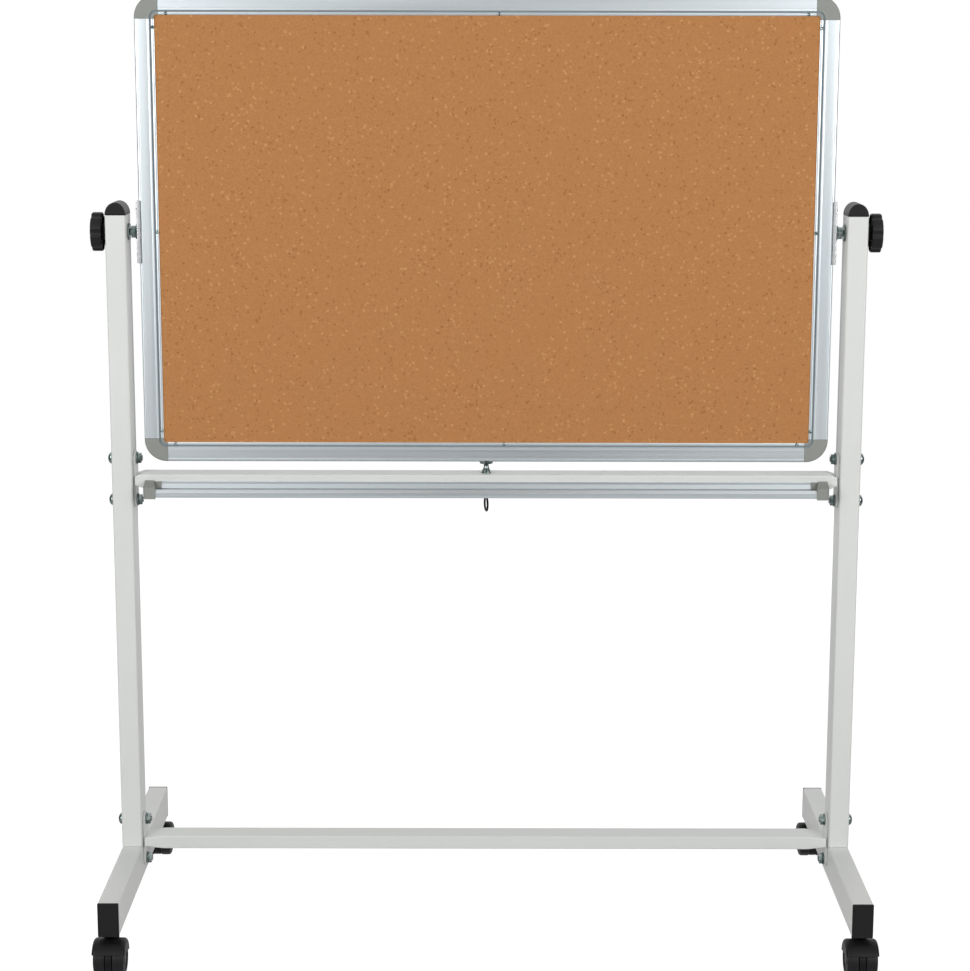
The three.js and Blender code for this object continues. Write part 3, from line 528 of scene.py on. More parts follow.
# %% Crossbars
bar_high = 0.020
bar_round = 0.002
end_drop = 0.006
end_stations = 6
upper_taper = 0.010
lower_taper = 0.030
plate_thick = 0.003
plate_deep = 0.030
plate_round_share = 0.98
plate_edge_soft = 0.0006


def crossbar(node, taper_long):
    low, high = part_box(node)
    middle = (low.z + high.z) / 2
    reach = high.x - plate_thick
    bar = block((-reach, low.y, middle - bar_high / 2), (reach, high.y, middle + bar_high / 2))
    soften(bar, 0, bar_round)
    stations = [reach - taper_long * (k + 1) / end_stations for k in range(end_stations)]
    for place in [way * station for way in (-1, 1) for station in stations]:
        geom = bar.verts[:] + bar.edges[:] + bar.faces[:]
        bmesh.ops.bisect_plane(bar, geom=geom, plane_co=(place, 0, 0), plane_no=(1, 0, 0))
    for spot in bar.verts:
        inward = min((reach - abs(spot.co.x)) / taper_long, 1)
        squeeze = 1 - end_drop / bar_high * (1 + cos(pi * inward)) / 2
        spot.co.z = middle + (spot.co.z - middle) * squeeze
    plates = []
    for way in (-1, 1):
        ends = sorted((way * reach, way * high.x))
        plate = block((ends[0], -plate_deep / 2, low.z), (ends[1], plate_deep / 2, high.z))
        soften(plate, 0, plate_deep / 2 * plate_round_share, 12)
        soften_rim(plate, 0, plate_edge_soft, 2)
        plates.append(plate)
    return gathered(bar, *plates)


for height, taper in (("upper", upper_taper), ("lower", lower_taper)):
    node = f"{height}_crossbar"
    finished(f"{height}_bar", crossbar(node, taper), cream, "stand", "cream_paint", node)
print("crossbars", 2)

# %% [markdown]
# ## Plate bolts
# A button-head bolt goes in from outside and a flanged nut closes it inside. The head is a short
# cylinder and a quarter of an ellipse, spun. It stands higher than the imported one, which the
# post's front edge would hide. The nut is a chamfered hexagon on a turned flange.

# %% Plate bolts
head_radius = 0.0088
head_sits = 0.0055
head_high = 0.0080
flange_radius = 0.009
flange_thick = 0.0016
nut_across = 0.014
nut_thick = 0.005
shank_radius = 0.004
head_side = 0.0025
bolt_nodes = [name for name in frame["nodes"] if name.endswith("_bolt")]
for name in bolt_nodes:
    low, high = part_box(name)
    way = -1 if low.x < 0 else 1
    outer, inner = (low.x, high.x) if way < 0 else (high.x, low.x)
    centre = Vector((0, (low.y + high.y) / 2, (low.z + high.z) / 2))
    seat = abs(outer) - head_sits
    dome = arc((0, seat + head_side), (head_radius, head_high - head_side), 0, 90, 8)
    head = turned([(0, seat), (head_radius, seat), *dome], 0, centre, 32, way)
    tail = abs(inner)
    shank = turned([(0, tail), (shank_radius, tail), (shank_radius, seat), (0, seat)], 0, centre, 24, way)
    nut_far = tail + flange_thick
    nut_near = nut_far + nut_thick
    ends = sorted((way * nut_far, way * nut_near))
    nut = hexagon(nut_across, 0, ends[0], ends[1], centre)
    flange = [(shank_radius, nut_near), (flange_radius, nut_near),
              (flange_radius, nut_near + flange_thick), (shank_radius, nut_near + flange_thick)]
    collar = turned([*flange, flange[0]], 0, centre, 32, way)
    whole = gathered(head, shank, nut, collar)
    finished(name.replace("_bolt", "_plate_bolt"), whole, zinc, "stand", "zinc", name)
print("bolts", len(bolt_nodes))

# %% [markdown]
# ## The board's frame
# The rail is an extrusion, and its section makes it: a rounded outer edge, a flat band between
# two hairline ribs, a dark groove, and the round lip that holds the cork. We draw the front half
# once, mirror it for the back, and draw it along the rail. `u` runs inwards from the board's edge
# and `v` from front to back.

# %% The rail's section
rail_face = 0.0285
outer_round = 0.0032
rib_high = 0.0002
rib_wide = 0.0005
outer_rib = 0.0046
inner_rib = 0.0186
groove_start = 0.0220
groove_wide = 0.0022
groove_deep = 0.0022
groove_chamfer = 0.0006
lip_sink = 0.0010
lip_bulge = 0.0008
lip_thick = 0.0016
board_half = 0.010


def rib(place):
    return [(place - rib_wide, -board_half + rib_high), (place, -board_half + rib_high * 2),
            (place + rib_wide, -board_half + rib_high)]


def rail_front():
    edge = arc((outer_round, -board_half + outer_round + rib_high), outer_round, 180, 270, 6)
    band = [*rib(outer_rib), *rib(inner_rib), (groove_start - groove_chamfer, -board_half + rib_high)]
    floor = -board_half + groove_deep
    groove = [(groove_start, -board_half + rib_high + groove_chamfer), (groove_start, floor),
              (groove_start + groove_wide, floor)]
    lip_start = groove_start + groove_wide
    lip_half = (rail_face - lip_start) / 2
    lip_high = -board_half + lip_sink
    lip = arc((lip_start + lip_half, lip_high + lip_bulge), (lip_half, lip_bulge), 180, 360, 8)
    return [*edge, *band, *groove, *lip, (rail_face, lip_high + lip_thick)]


def darken_groove(bm, inward):
    """Give the groove's faces the second material. `inward` is a vertex's distance from the edge."""
    for face in bm.faces:
        if all(-weld < inward(v.co) - groove_start < groove_wide + weld for v in face.verts):
            face.material_index = 1


front_half = rail_front()
rail_section = front_half + [(u, -v) for u, v in reversed(front_half)]
print("rail section", len(rail_section), "points")

# %% [markdown]
# The four rails share the section. The lower one is drawn along X and up from the board's edge,
# and the others are the same drawing turned about the pivot by quarter turns.

# %% Rails
bottom_low, bottom_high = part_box("bottom_rail")
left_low, left_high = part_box("left_rail")
pivot_high = (left_low.z + left_high.z) / 2
board_x = -left_low.x
board_z = pivot_high - bottom_low.z
pivot = Vector((0, 0, pivot_high))
rail_rows = [
    ("bottom_rail", bottom_high.x, board_z, 0, silver_x),
    ("right_rail", left_high.z - pivot_high, board_x, -90, silver_z),
    ("top_rail", bottom_high.x, board_z, 180, silver_x),
    ("left_rail", left_high.z - pivot_high, board_x, 90, silver_z),
]
for name, half, across, angle, material in rail_rows:
    rail = drawn([(v, u - across) for u, v in rail_section], 0, -half, half)
    darken_groove(rail, lambda spot: spot.z + across)
    bmesh.ops.rotate(rail, cent=(0, 0, 0), matrix=Matrix.Rotation(radians(angle), 3, "Y"), verts=rail.verts)
    bmesh.ops.translate(rail, vec=pivot, verts=rail.verts)
    finished(f"{name}_profile", rail, (material, groove_shade), "board", "silver_frame", name)
print("board", round(board_x * 2, 3), "by", round(board_z * 2, 3))

# %% [markdown]
# The corner pieces continue the section round a quarter turn, a little prouder than the rails.
# Spin does that: the section stands at the end of the lower rail and is swept about the centre
# of the corner's arc, so the groove and the lip run round as they do on the moulded piece. One
# corner is drawn, and the other three are its mirror images, scaled by minus one.

# %% Corners
corner_reach = 0.034
corner_round = 0.032
corner_grow = 1.035
corner_steps = 12


def corner(name, alongside, upward):
    bm = bmesh.new()
    reach = corner_reach - corner_round
    spots = [bm.verts.new((reach, v * corner_grow, u - corner_round)) for u, v in rail_section]
    lines = [bm.edges.new(pair) for pair in zip(spots, spots[1:] + spots[:1])]
    face = bmesh.ops.contextual_create(bm, geom=lines)["faces"]
    side = bmesh.ops.extrude_face_region(bm, geom=face)["geom"]
    moved = [v for v in side if isinstance(v, bmesh.types.BMVert)]
    bmesh.ops.translate(bm, vec=(-reach, 0, 0), verts=moved)
    end = [f for f in side if isinstance(f, bmesh.types.BMFace)]
    ring = end + [e for f in end for e in f.edges] + moved
    swept = bmesh.ops.spin(bm, geom=ring, cent=(0, 0, 0), axis=(0, 1, 0), angle=pi / 2,
                           steps=corner_steps)
    swept_end = [f for f in swept["geom_last"] if isinstance(f, bmesh.types.BMFace)]
    last = bmesh.ops.extrude_face_region(bm, geom=swept_end)["geom"]
    moved = [v for v in last if isinstance(v, bmesh.types.BMVert)]
    bmesh.ops.translate(bm, vec=(0, 0, reach), verts=moved)
    inner = [f for f in bm.faces if all(len(e.link_faces) > 2 for e in f.edges)]
    bmesh.ops.delete(bm, geom=inner, context="FACES_ONLY")
    darken_groove(bm, lambda spot: corner_round - hypot(min(spot.x, 0), min(spot.z, 0)))
    bmesh.ops.scale(bm, vec=(alongside, 1, upward), verts=bm.verts)
    shift = (-alongside * (board_x - corner_round), 0, pivot_high - upward * (board_z - corner_round))
    bmesh.ops.translate(bm, vec=shift, verts=bm.verts)
    finished(f"{name}_moulding", bm, (grey, groove_shade), "board", "grey_plastic", name)


for name, alongside, upward in (("bottom_left_corner", 1, 1), ("bottom_right_corner", -1, 1),
                                ("top_left_corner", 1, -1), ("top_right_corner", -1, -1)):
    corner(name, alongside, upward)
print("corners", 4)

# %% [markdown]
# Small raised-head screws sit in the lip: one on each side of every corner, and one near the
# middle of each rail, in front and behind. Each is a spun dome, and the points at its top are
# pushed in to make the recess for the driver. A few dozen faces are enough.

# %% Lip screws
screw_radius = 0.0026
screw_high = 0.0012
screw_inset = 0.0455
screw_seat = 0.0004
recess_share = 0.7
bottom_screw_place = 0.026
top_screw_place = -0.017
lip_middle = rail_face - 0.0022


def lip_screw(place, across, angle, way):
    seat = board_half - lip_sink
    dome = arc((0, seat), (screw_radius, screw_high), 0, 90, 3)
    centre = (place, 0, lip_middle - across)
    head = turned([(screw_radius, seat - screw_seat), *dome], 1, centre, 14, way)
    top = [v for v in head.verts if abs(v.co.y) > seat + screw_high * 0.9]
    bmesh.ops.translate(head, vec=(0, -way * screw_high * recess_share, 0), verts=top)
    turn = Matrix.Rotation(radians(angle), 3, "Y")
    bmesh.ops.rotate(head, cent=(0, 0, 0), matrix=turn, verts=head.verts)
    bmesh.ops.translate(head, vec=pivot, verts=head.verts)
    return head


screw_rows = [
    (board_x, board_z, 0, bottom_screw_place),
    (board_z, board_x, 90, 0),
    (board_x, board_z, 180, top_screw_place),
    (board_z, board_x, 270, 0),
]
heads = [lip_screw(place, across, angle, way) for long, across, angle, middle in screw_rows
         for place in (screw_inset - long, middle, long - screw_inset) for way in (-1, 1)]
print("lip screws", len(heads))
finished("lip_screws", gathered(*heads), zinc, "board", "zinc")

# %% [markdown]
# ## The panel
# The cork, the core and the whiteboard sheet are flat sheets. Their nodes in the frame already
# have the right shape, so they stay and only take their finish.

# %% Panel finishes
def dress(node, material):
    target = frame["nodes"][node]
    target.data.materials.clear()
    target.data.materials.append(material)


dress("cork_panel", cork_sheet())
dress("core_panel", fibreboard())
dress("whiteboard_panel", lacquer())
print("panels", 3)

# %% [markdown]
# ## Pivots
# At each side a steel channel wraps the rail's edge. Its stud carries a flanged nut, passes
# through the post behind a washer, and ends in the clamp knob. The channel is an outline drawn
# upwards, and its upright corners and its ends are bevelled. The rounded corners take the second
# material, a darker zinc that paints the thin dark lines at the plate's sides as a dark reflection.

# %% Pivot plates
plate_wall = 0.003
plate_flange = 0.0015
plate_outer_round = 0.0012
plate_inner_round = 0.0010
plate_end_round = 0.0022
plate_rim_soft = 0.0004
plate_screw_share = 0.36
plate_screw_radius = 0.0042
plate_screw_high = 0.0022
plate_screw_seat = 0.0006
touch = 0.0001


def pivot_plate(side, way):
    low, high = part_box(f"{side}_pivot_plate")
    wrap, face = sorted((abs(low.x), abs(high.x)))
    outer, inner, seat = high.y, high.y - plate_flange, face - plate_wall
    channel = [(wrap, -outer), (face, -outer), (face, outer), (wrap, outer),
               (wrap, inner), (seat, inner), (seat, -inner), (wrap, -inner)]
    plate = drawn([(way * x, y) for x, y in channel], 2, low.z, high.z)
    soften(plate, 2, plate_outer_round, 4, lambda edge: abs(edge.verts[0].co.x) > face - touch)
    soften(plate, 2, plate_inner_round, 3, lambda edge: abs(edge.verts[0].co.x) < wrap + touch
           and abs(edge.verts[0].co.y) > outer - touch)
    # The rounded corners take the painted dark reflection.
    for rounded in plate.faces:
        if 0.2 < abs(rounded.normal.x) < 0.99 and abs(rounded.normal.z) < 0.01:
            rounded.material_index = 1
    ends = [e for e in plate.edges if runs_along(e, 1) and abs(e.verts[0].co.x) < wrap + touch]
    bevelled(plate, ends, plate_end_round, 4)
    soften_rim(plate, 2, plate_rim_soft, 2)
    heads = []
    for place in (-plate_screw_share, plate_screw_share):
        centre = (0, 0, pivot_high + place * (high.z - low.z))
        dome = arc((0, face - 0.0002), (plate_screw_radius, plate_screw_high), 0, 90, 5)
        seat = face - plate_screw_seat
        heads.append(turned([(0, seat), (plate_screw_radius, seat), *dome], 0, centre, 24, way))
    finished(f"{side}_plate", plate, (bright, plate_edge_painted_reflection), "board", "zinc", f"{side}_pivot_plate")
    finished(f"{side}_plate_screws", gathered(*heads), zinc, "board", "zinc")
    return face


# %% [markdown]
# The stud, its flange nut and the washer are turned about the pivot's axis, apart from the nut's
# hexagon. Every rim has a small chamfer, because that is what catches the light on turned parts.

# %% Studs and washers
stud_radius = 0.005
stud_flange = 0.011
stud_flange_thick = 0.002
bore_gap = 0.0004
stud_nut_across = 0.017
stud_nut_high = 0.006
chamfer = 0.0005


def ring_profile(inner, outer, near, far):
    """A washer's section, with its outer corners chamfered."""
    rim = [(inner, near), (outer - chamfer, near), (outer, near + chamfer),
           (outer, far - chamfer), (outer - chamfer, far), (inner, far)]
    return [*rim, rim[0]]


for side, way in (("left", -1), ("right", 1)):
    plate_face = pivot_plate(side, way)
    low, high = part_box(f"{side}_pivot_stud")
    near, far = sorted((abs(low.x), abs(high.x)))
    stud = turned([(0, near), (stud_radius, near), (stud_radius, far), (0, far)], 0, pivot, 32, way)
    flange_near = plate_face + seat_gap
    flange_far = flange_near + stud_flange_thick
    collar = turned(ring_profile(stud_radius, stud_flange, flange_near, flange_far), 0, pivot, 40, way)
    ends = sorted((way * flange_far, way * (flange_far + stud_nut_high)))
    nut = hexagon(stud_nut_across, 0, ends[0], ends[1], pivot)
    finished(f"{side}_stud", gathered(stud, collar, nut), zinc, "board", "zinc", f"{side}_pivot_stud")
    low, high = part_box(f"{side}_pivot_washer")
    near, far = sorted((abs(low.x), abs(high.x)))
    profile = ring_profile(stud_radius + bore_gap, (high.z - low.z) / 2, near, far)
    washer = turned(profile, 0, pivot, 40, way)
    finished(f"{side}_washer", washer, zinc, "board", "zinc", f"{side}_pivot_washer")
print("pivots", 2)

# %% [markdown]
# ## Clamp knobs
# The clamp knob has six lobes parted by shallow scallops. Its outline isn't a circle, so it
# can't be spun. Instead we extrude a ring of edges again and again, and after each step every
# vertex is moved to the radius that the outline has at its angle, offset inwards. One walk goes
# from the hollow back over the rim and across the domed face to the middle.

# %% Rings that are not circles
def lofted(stations, axis, centre, sides, way=1):
    """Extrude a ring through stations, each a radius as a function of the angle, and a height."""
    bm = bmesh.new()
    bmesh.ops.create_circle(bm, segments=sides, radius=1)
    ring, edges = bm.verts[:], bm.edges[:]
    first = edges
    for step, (radius, height) in enumerate(stations):
        if step:
            grown = bmesh.ops.extrude_edge_only(bm, edges=edges)["geom"]
            ring = [g for g in grown if isinstance(g, bmesh.types.BMVert)]
            lines = [g for g in grown if isinstance(g, bmesh.types.BMEdge)]
            edges = [line for line in lines if all(v in ring for v in line.verts)]
        for vert in ring:
            angle = atan2(vert.co.y, vert.co.x)
            reach = radius(angle)
            vert.co = (reach * cos(angle), reach * sin(angle), height)
    bmesh.ops.contextual_create(bm, geom=first)
    for vert in bm.verts:
        vert.co = Vector(centre) + on_axis(axis, way * vert.co.z, vert.co.x, vert.co.y)
    bmesh.ops.remove_doubles(bm, verts=bm.verts, dist=weld)
    bmesh.ops.recalc_face_normals(bm, faces=bm.faces)
    return bm


# %% [markdown]
# The outline offset inwards is again a circle cut by scallops: the circle shrinks by the offset,
# and each scallop grows by it about the same centre. So one formula serves the rim, its rounded
# edges and the face.

# %% Clamp knobs
knob_radius = 0.028
knob_half = knob_radius / 2
knob_lobes = 6
scallop_radius = 0.007
scallop_deep = 0.0026
knob_boss = 0.0105
knob_boss_long = 0.0055
knob_skin = 0.004
knob_wall = 0.0028
knob_round = 0.0024
knob_dome = 0.003
knob_lip = 0.0004
knob_web_thick = 0.002
knob_web_sunk = 0.0024
boss_edge = 0.0006
face_rings = (0.020, 0.016, 0.012)
button_rings = ((0.0092, 0.0008), (0.0086, 0.0001), (0, 0))


def knob_outline(inset):
    def reach(angle):
        sector = 2 * pi / knob_lobes
        off = (angle + sector / 2) % sector - sector / 2
        centre = knob_radius + scallop_radius - scallop_deep
        inside = (scallop_radius + inset) ** 2 - (centre * sin(off)) ** 2
        circle = knob_radius - inset
        return min(circle, centre * cos(off) - inside ** 0.5) if inside > 0 else circle
    return reach


def circle_of(radius):
    return lambda angle: radius


def knob(way, seat, far):
    start = seat + knob_boss_long
    edge = far - knob_dome
    back = [(knob_outline(knob_round * (1 - sin(a))), start + knob_round * (1 - cos(a)))
            for a in [radians(90 * k / 4) for k in range(5)]]
    front = [(knob_outline(knob_round * (1 - cos(a))), edge - knob_round * (1 - sin(a)))
             for a in [radians(90 * k / 5) for k in range(6)]]
    under = far - knob_skin
    inner = [(circle_of(knob_boss - 0.001), under), (circle_of(knob_half), under)]
    hollow = [(knob_outline(knob_wall), under), (knob_outline(knob_wall), start + knob_lip)]
    dome = [(circle_of(radius), far - knob_dome * (radius / face_rings[0]) ** 2) for radius in face_rings]
    button = [(circle_of(radius), far - depth) for radius, depth in button_rings]
    body = lofted([*inner, *hollow, *back, *front, *dome, *button], 0, pivot, 144, way)
    bore = stud_radius + bore_gap
    boss_top = under + 0.0005
    wall = [(bore, boss_top), (bore, seat), (knob_boss - boss_edge, seat), (knob_boss, seat + boss_edge),
            (knob_boss, boss_top), (bore, boss_top)]
    core = turned(wall, 0, pivot, 40, way)
    ribs = []
    for k in range(knob_lobes):
        ends = sorted((way * (start + knob_web_sunk), way * under))
        half = knob_web_thick / 2
        web = block((ends[0], -half, knob_boss - half), (ends[1], half, knob_radius - scallop_deep - half))
        turn = Matrix.Rotation(2 * pi * (k + 0.5) / knob_lobes - pi / 2, 3, "X")
        bmesh.ops.rotate(web, cent=(0, 0, 0), matrix=turn, verts=web.verts)
        bmesh.ops.translate(web, vec=pivot, verts=web.verts)
        ribs.append(web)
    return gathered(body, core, *ribs)


for side, way in (("left", -1), ("right", 1)):
    low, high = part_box(f"{side}_knob")
    seat, far = sorted((abs(low.x), abs(high.x)))
    whole = knob(way, seat, far)
    finished(f"{side}_clamp_knob", whole, black, f"{side}_clamp", "black_plastic", f"{side}_knob")
print("knobs", 2)

# %% [markdown]
# ## Pen tray
# The tray is a bent aluminium strip: a flange on the bar's front, a sloping shoulder, the
# trough, and a front wall whose lip leans in. We walk down the middle of the sheet as a line of
# points, offset that line by half the thickness on both sides, and draw the strip along X.

# %% The tray's section
tray_wall = 0.0016
tray_bend = 0.003
tray_front_high = 0.0124
tray_lip = 0.0035
tray_flange_high = 0.004
tray_shoulder_high = 0.005
tray_shoulder_deep = 0.004
strip_edge = 0.0003


def offset(line, distance):
    """A line of points moved to its left, mitred at its bends."""
    points = [Vector(point) for point in line]
    ways = [(b - a).normalized() for a, b in zip(points, points[1:])]
    moved = []
    for k, point in enumerate(points):
        before, after = ways[max(k - 1, 0)], ways[min(k, len(ways) - 1)]
        middle = (before + after).normalized()
        moved.append(tuple(point + Vector((-middle.y, middle.x)) * (distance / middle.dot(after))))
    return moved


def strip(line, near, far):
    return offset(line, near) + offset(line, far)[::-1]


tray_low, tray_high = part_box("pen_tray")
half = tray_wall / 2
back_y, front_y = tray_high.y - half, tray_low.y + half
shoulder_y = back_y - tray_shoulder_deep
tray_floor, tray_top = tray_low.z + half, tray_high.z
lip_top = tray_floor + tray_front_high - tray_wall
back_line = [(back_y, tray_top), (back_y, tray_top - tray_flange_high),
             (shoulder_y, tray_top - tray_flange_high - tray_shoulder_high)]
tray_line = [*back_line,
             *arc((shoulder_y - tray_bend, tray_floor + tray_bend), tray_bend, 0, -90, 6),
             *arc((front_y + tray_bend, tray_floor + tray_bend), tray_bend, -90, -180, 6),
             (front_y, lip_top - tray_lip), (front_y + tray_lip, lip_top)]
tray = drawn(strip(tray_line, -half, half), 0, tray_low.x, tray_high.x)
soften(tray, 0, strip_edge, 2)
finished("tray_strip", tray, silver_x, "stand", "silver_frame", "pen_tray")
print("tray", round(tray_high.x - tray_low.x, 3), "long")

# %% [markdown]
# A plastic cap closes each end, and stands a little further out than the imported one. It starts
# as the plan of a block with one round corner, drawn upwards. A plane cuts the roof to its slope,
# the open sides are deleted, and solidify gives the skin that is left its thickness. A tongue of
# the same plastic follows the tray's shoulder.

# %% Tray caps
cap_wall = 0.0012
cap_round = 0.0055
cap_proud = 0.004
cap_front_long = 0.0185
cap_back_long = 0.0135
cap_tongue = 0.0245
cap_out = 0.0022
cap_soft = 0.0007
roof_cut = 0.00001
for side, way in (("left", -1), ("right", 1)):
    low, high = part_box(f"{side}_tray_cap")
    end = max(abs(low.x), abs(high.x)) + cap_out
    plan = [*arc((end - cap_round, low.y + cap_round), cap_round, 0, -90, 8),
            (end - cap_front_long, low.y), (end - cap_back_long, high.y), (end, high.y)]
    shell = drawn([(way * x, y) for x, y in plan], 2, low.z, high.z)
    slope = Vector((0, low.y - high.y, lip_top + cap_proud - high.z))
    cut = bmesh.ops.bisect_plane(shell, geom=shell.verts[:] + shell.edges[:] + shell.faces[:],
                                 plane_co=(0, high.y, high.z - roof_cut),
                                 plane_no=slope.cross(Vector((1, 0, 0))), clear_outer=True)["geom_cut"]
    bmesh.ops.contextual_create(shell, geom=[g for g in cut if isinstance(g, bmesh.types.BMEdge)])
    bmesh.ops.recalc_face_normals(shell, faces=shell.faces)
    sharp = [e for e in shell.edges if e.calc_face_angle(0) > radians(30)]
    bevelled(shell, sharp, cap_soft, 3)
    open_side = [f for f in shell.faces if f.normal.x * way < -0.9 or f.normal.y > 0.95]
    bmesh.ops.delete(shell, geom=open_side, context="FACES")
    bmesh.ops.solidify(shell, geom=shell.faces[:], thickness=cap_wall)
    tongue_line = [(back_y, tray_top + seat_gap), *back_line[1:], (shoulder_y, tray_floor)]
    ends = sorted((way * (end - 0.001), way * (end - cap_tongue)))
    clear = half + seat_gap
    tongue = drawn(strip(tongue_line, -clear - cap_wall, -clear), 0, ends[0], ends[1])
    soften(tongue, 0, strip_edge, 2)
    whole = gathered(shell, tongue)
    finished(f"{side}_tray_end", whole, grey, "stand", "grey_plastic", f"{side}_tray_cap")
print("tray caps", 2)

# %% [markdown]
# ## Spring latch
# The housing, the pin and the striker are turned. Their heights come from the frame. The radii
# are read off the photograph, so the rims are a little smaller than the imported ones.

# %% Latch
pin_radius = 0.0045
pin_tip = 0.0036
pin_tip_long = 0.005
pin_body_long = 0.016
pin_slope = 0.0015
pin_edge = 0.001
foot_edge = 0.0006
housing_radius = 0.0068
housing_bore = 0.0054
housing_floor = 0.0014
housing_lip = 0.0061
lock_thick = 0.003
flange_high = 0.0015
bush_radius = 0.0057
bush_thick = 0.0032
striker_share = 0.85
bore = pin_tip + bore_gap
bar_low, bar_box_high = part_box("upper_crossbar")
bar_top = (bar_low.z + bar_box_high.z) / 2 + bar_high / 2
bar_under = bar_top - bar_high
low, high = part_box("latch_housing")
lock_radius = 0.0076
lock_high = bar_under - seat_gap
lock_low = lock_high - lock_thick
flange_low = bar_top + seat_gap
housing = turned([
    (bore, low.z), (housing_radius - chamfer, low.z), (housing_radius, low.z + chamfer),
    (housing_radius, lock_low), (lock_radius - chamfer, lock_low), (lock_radius, lock_low + chamfer),
    (lock_radius, lock_high - chamfer), (lock_radius - chamfer, lock_high), (housing_radius, lock_high),
    (housing_radius, flange_low), (lock_radius - chamfer, flange_low),
    (lock_radius, flange_low + chamfer), (lock_radius, bar_top + flange_high),
    (housing_lip, bar_top + flange_high), (housing_lip, high.z), (housing_bore, high.z),
    (housing_bore, low.z + housing_floor), (bore, low.z + housing_floor), (bore, low.z),
], 2, (0, 0, 0), 40)
finished("latch_bush", housing, zinc, "stand", "zinc", "latch_housing")

low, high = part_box("latch_pin")
shoulder = high.z - pin_tip_long
body_low = shoulder - pin_body_long
pin = turned([
    (0, low.z), (pin_tip - foot_edge, low.z), (pin_tip, low.z + foot_edge), (pin_tip, body_low),
    (pin_radius, body_low), (pin_radius, shoulder - pin_slope), (pin_tip, shoulder),
    (pin_tip, high.z - pin_edge), (pin_tip - pin_edge, high.z), (0, high.z),
], 2, (0, 0, 0), 32)
finished("pull_pin", pin, zinc, "latch", "zinc", "latch_pin")

low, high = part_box("latch_striker")
striker_radius = high.x * striker_share
seat = low.z + bush_thick
striker = turned([
    (bore, low.z), (striker_radius - chamfer, low.z), (striker_radius, low.z + chamfer),
    (striker_radius, seat - chamfer), (striker_radius - chamfer, seat), (bush_radius, seat),
    (bush_radius, high.z), (bore, high.z), (bore, low.z),
], 2, (0, 0, 0), 40)
finished("striker_bush", striker, zinc, "board", "zinc", "latch_striker")

# %% [markdown]
# The spring is a small circle swept round the pin: Spin takes a step along the axis as well, and
# so it draws a screw. It hides in the housing. The real spring shortens when the pin is pulled.

# %% Spring
spring_wire_thick = 0.001
spring_curls = 6
spring_steps = 16
low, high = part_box("latch_spring")
half_wire = spring_wire_thick / 2
coil = bmesh.new()
section = arc((high.x - half_wire, low.z + half_wire), half_wire, 0, 315, 7)
spots = [coil.verts.new((radius, 0, height)) for radius, height in section]
lines = [coil.edges.new(pair) for pair in zip(spots, spots[1:] + spots[:1])]
steps = spring_curls * spring_steps
climb = (high.z - low.z - spring_wire_thick) / steps
bmesh.ops.spin(coil, geom=spots + lines, cent=(0, 0, 0), axis=(0, 0, 1), dvec=(0, 0, climb),
               angle=2 * pi * spring_curls, steps=steps, use_merge=False)
bmesh.ops.holes_fill(coil, edges=[e for e in coil.edges if e.is_boundary])
spring = finished("coil_spring", coil, spring_wire(), "latch", "spring_steel", "latch_spring")
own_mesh(spring)
print("spring", round(high.z - low.z, 4), "long")

# %% [markdown]
# The pull ring is a circle of wire spun about the ring's own axis. It hangs a few degrees out of
# the board's cross plane, so the spin's axis is turned by the same angle.

# %% Pull ring
ring_radius = 0.0105
ring_wire = 0.0016
ring_turn = radians(12)
wire_sides = 12
low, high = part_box("pull_ring")
centre = Vector((0, 0, high.z - ring_radius - ring_wire))
ring = bmesh.new()
section = arc((ring_radius, 0), ring_wire, 0, 360 - 360 / wire_sides, wire_sides - 1)
spots = [ring.verts.new((along, 0, radius)) for radius, along in section]
lines = [ring.edges.new(pair) for pair in zip(spots, spots[1:] + spots[:1])]
bmesh.ops.spin(ring, geom=spots + lines, cent=(0, 0, 0), axis=(1, 0, 0), angle=2 * pi, steps=56,
               use_merge=True)
bmesh.ops.rotate(ring, cent=(0, 0, 0), matrix=Matrix.Rotation(ring_turn, 3, "Z"), verts=ring.verts)
bmesh.ops.translate(ring, vec=centre, verts=ring.verts)
finished("pull_loop", ring, dark_wire, "ring", "zinc", "pull_ring")
print("latch", 4)

# %% [markdown]
# ## Casters
# Each caster has one moulded hood over two wheels. The hood is a drum about the axle with round
# shoulders and two thin cheeks, and only its upper part is left. So we turn the outer and the
# inner drum, cut both with one plane, and bridge the two open rims into the hood's edge.

# %% Caster hoods
hood_wall = 0.0025
hood_cheek = 0.0012
hood_round = 0.005
hood_clear = 0.0008
hood_edge = 0.0004
web_edge = 0.0005
hood_back = radians(27)
hood_front = radians(172)


def drum(radius, wide, corner_radius, centre):
    shoulder = arc((radius - corner_radius, wide - corner_radius), corner_radius, 90, 0, 6)
    near = [(r, -w) for r, w in shoulder]
    return turned([(0, -wide), *near, *shoulder[::-1], (0, wide)], 0, centre, 72)


def cut_below(bm, place, normal):
    bmesh.ops.bisect_plane(bm, geom=bm.verts[:] + bm.edges[:] + bm.faces[:], plane_co=place,
                           plane_no=normal, clear_outer=True)


def hood(x, axle, way, outer, wide):
    """The part of the drum above a chord, whose two ends are given as angles about the axle."""
    centre = (x, *axle)
    ends = [Vector((0, way * outer * cos(a), outer * sin(a))) for a in (hood_back, hood_front)]
    normal = (ends[1] - ends[0]).cross(Vector((-way, 0, 0)))
    place = Vector(centre) + ends[0]
    shell = gathered(drum(outer, wide, hood_round, centre),
                     drum(outer - hood_wall, wide - hood_cheek, hood_round - hood_wall, centre))
    cut_below(shell, place, normal)
    bmesh.ops.bridge_loops(shell, edges=[e for e in shell.edges if e.is_boundary])
    bevelled(shell, [e for e in shell.edges if e.calc_face_angle(0) > radians(60)], hood_edge, 2)
    rib = drum(outer - hood_wall / 2, web_half, web_edge, centre)
    cut_below(rib, place, normal)
    bmesh.ops.contextual_create(rib, geom=[e for e in rib.edges if e.is_boundary])
    return shell, rib


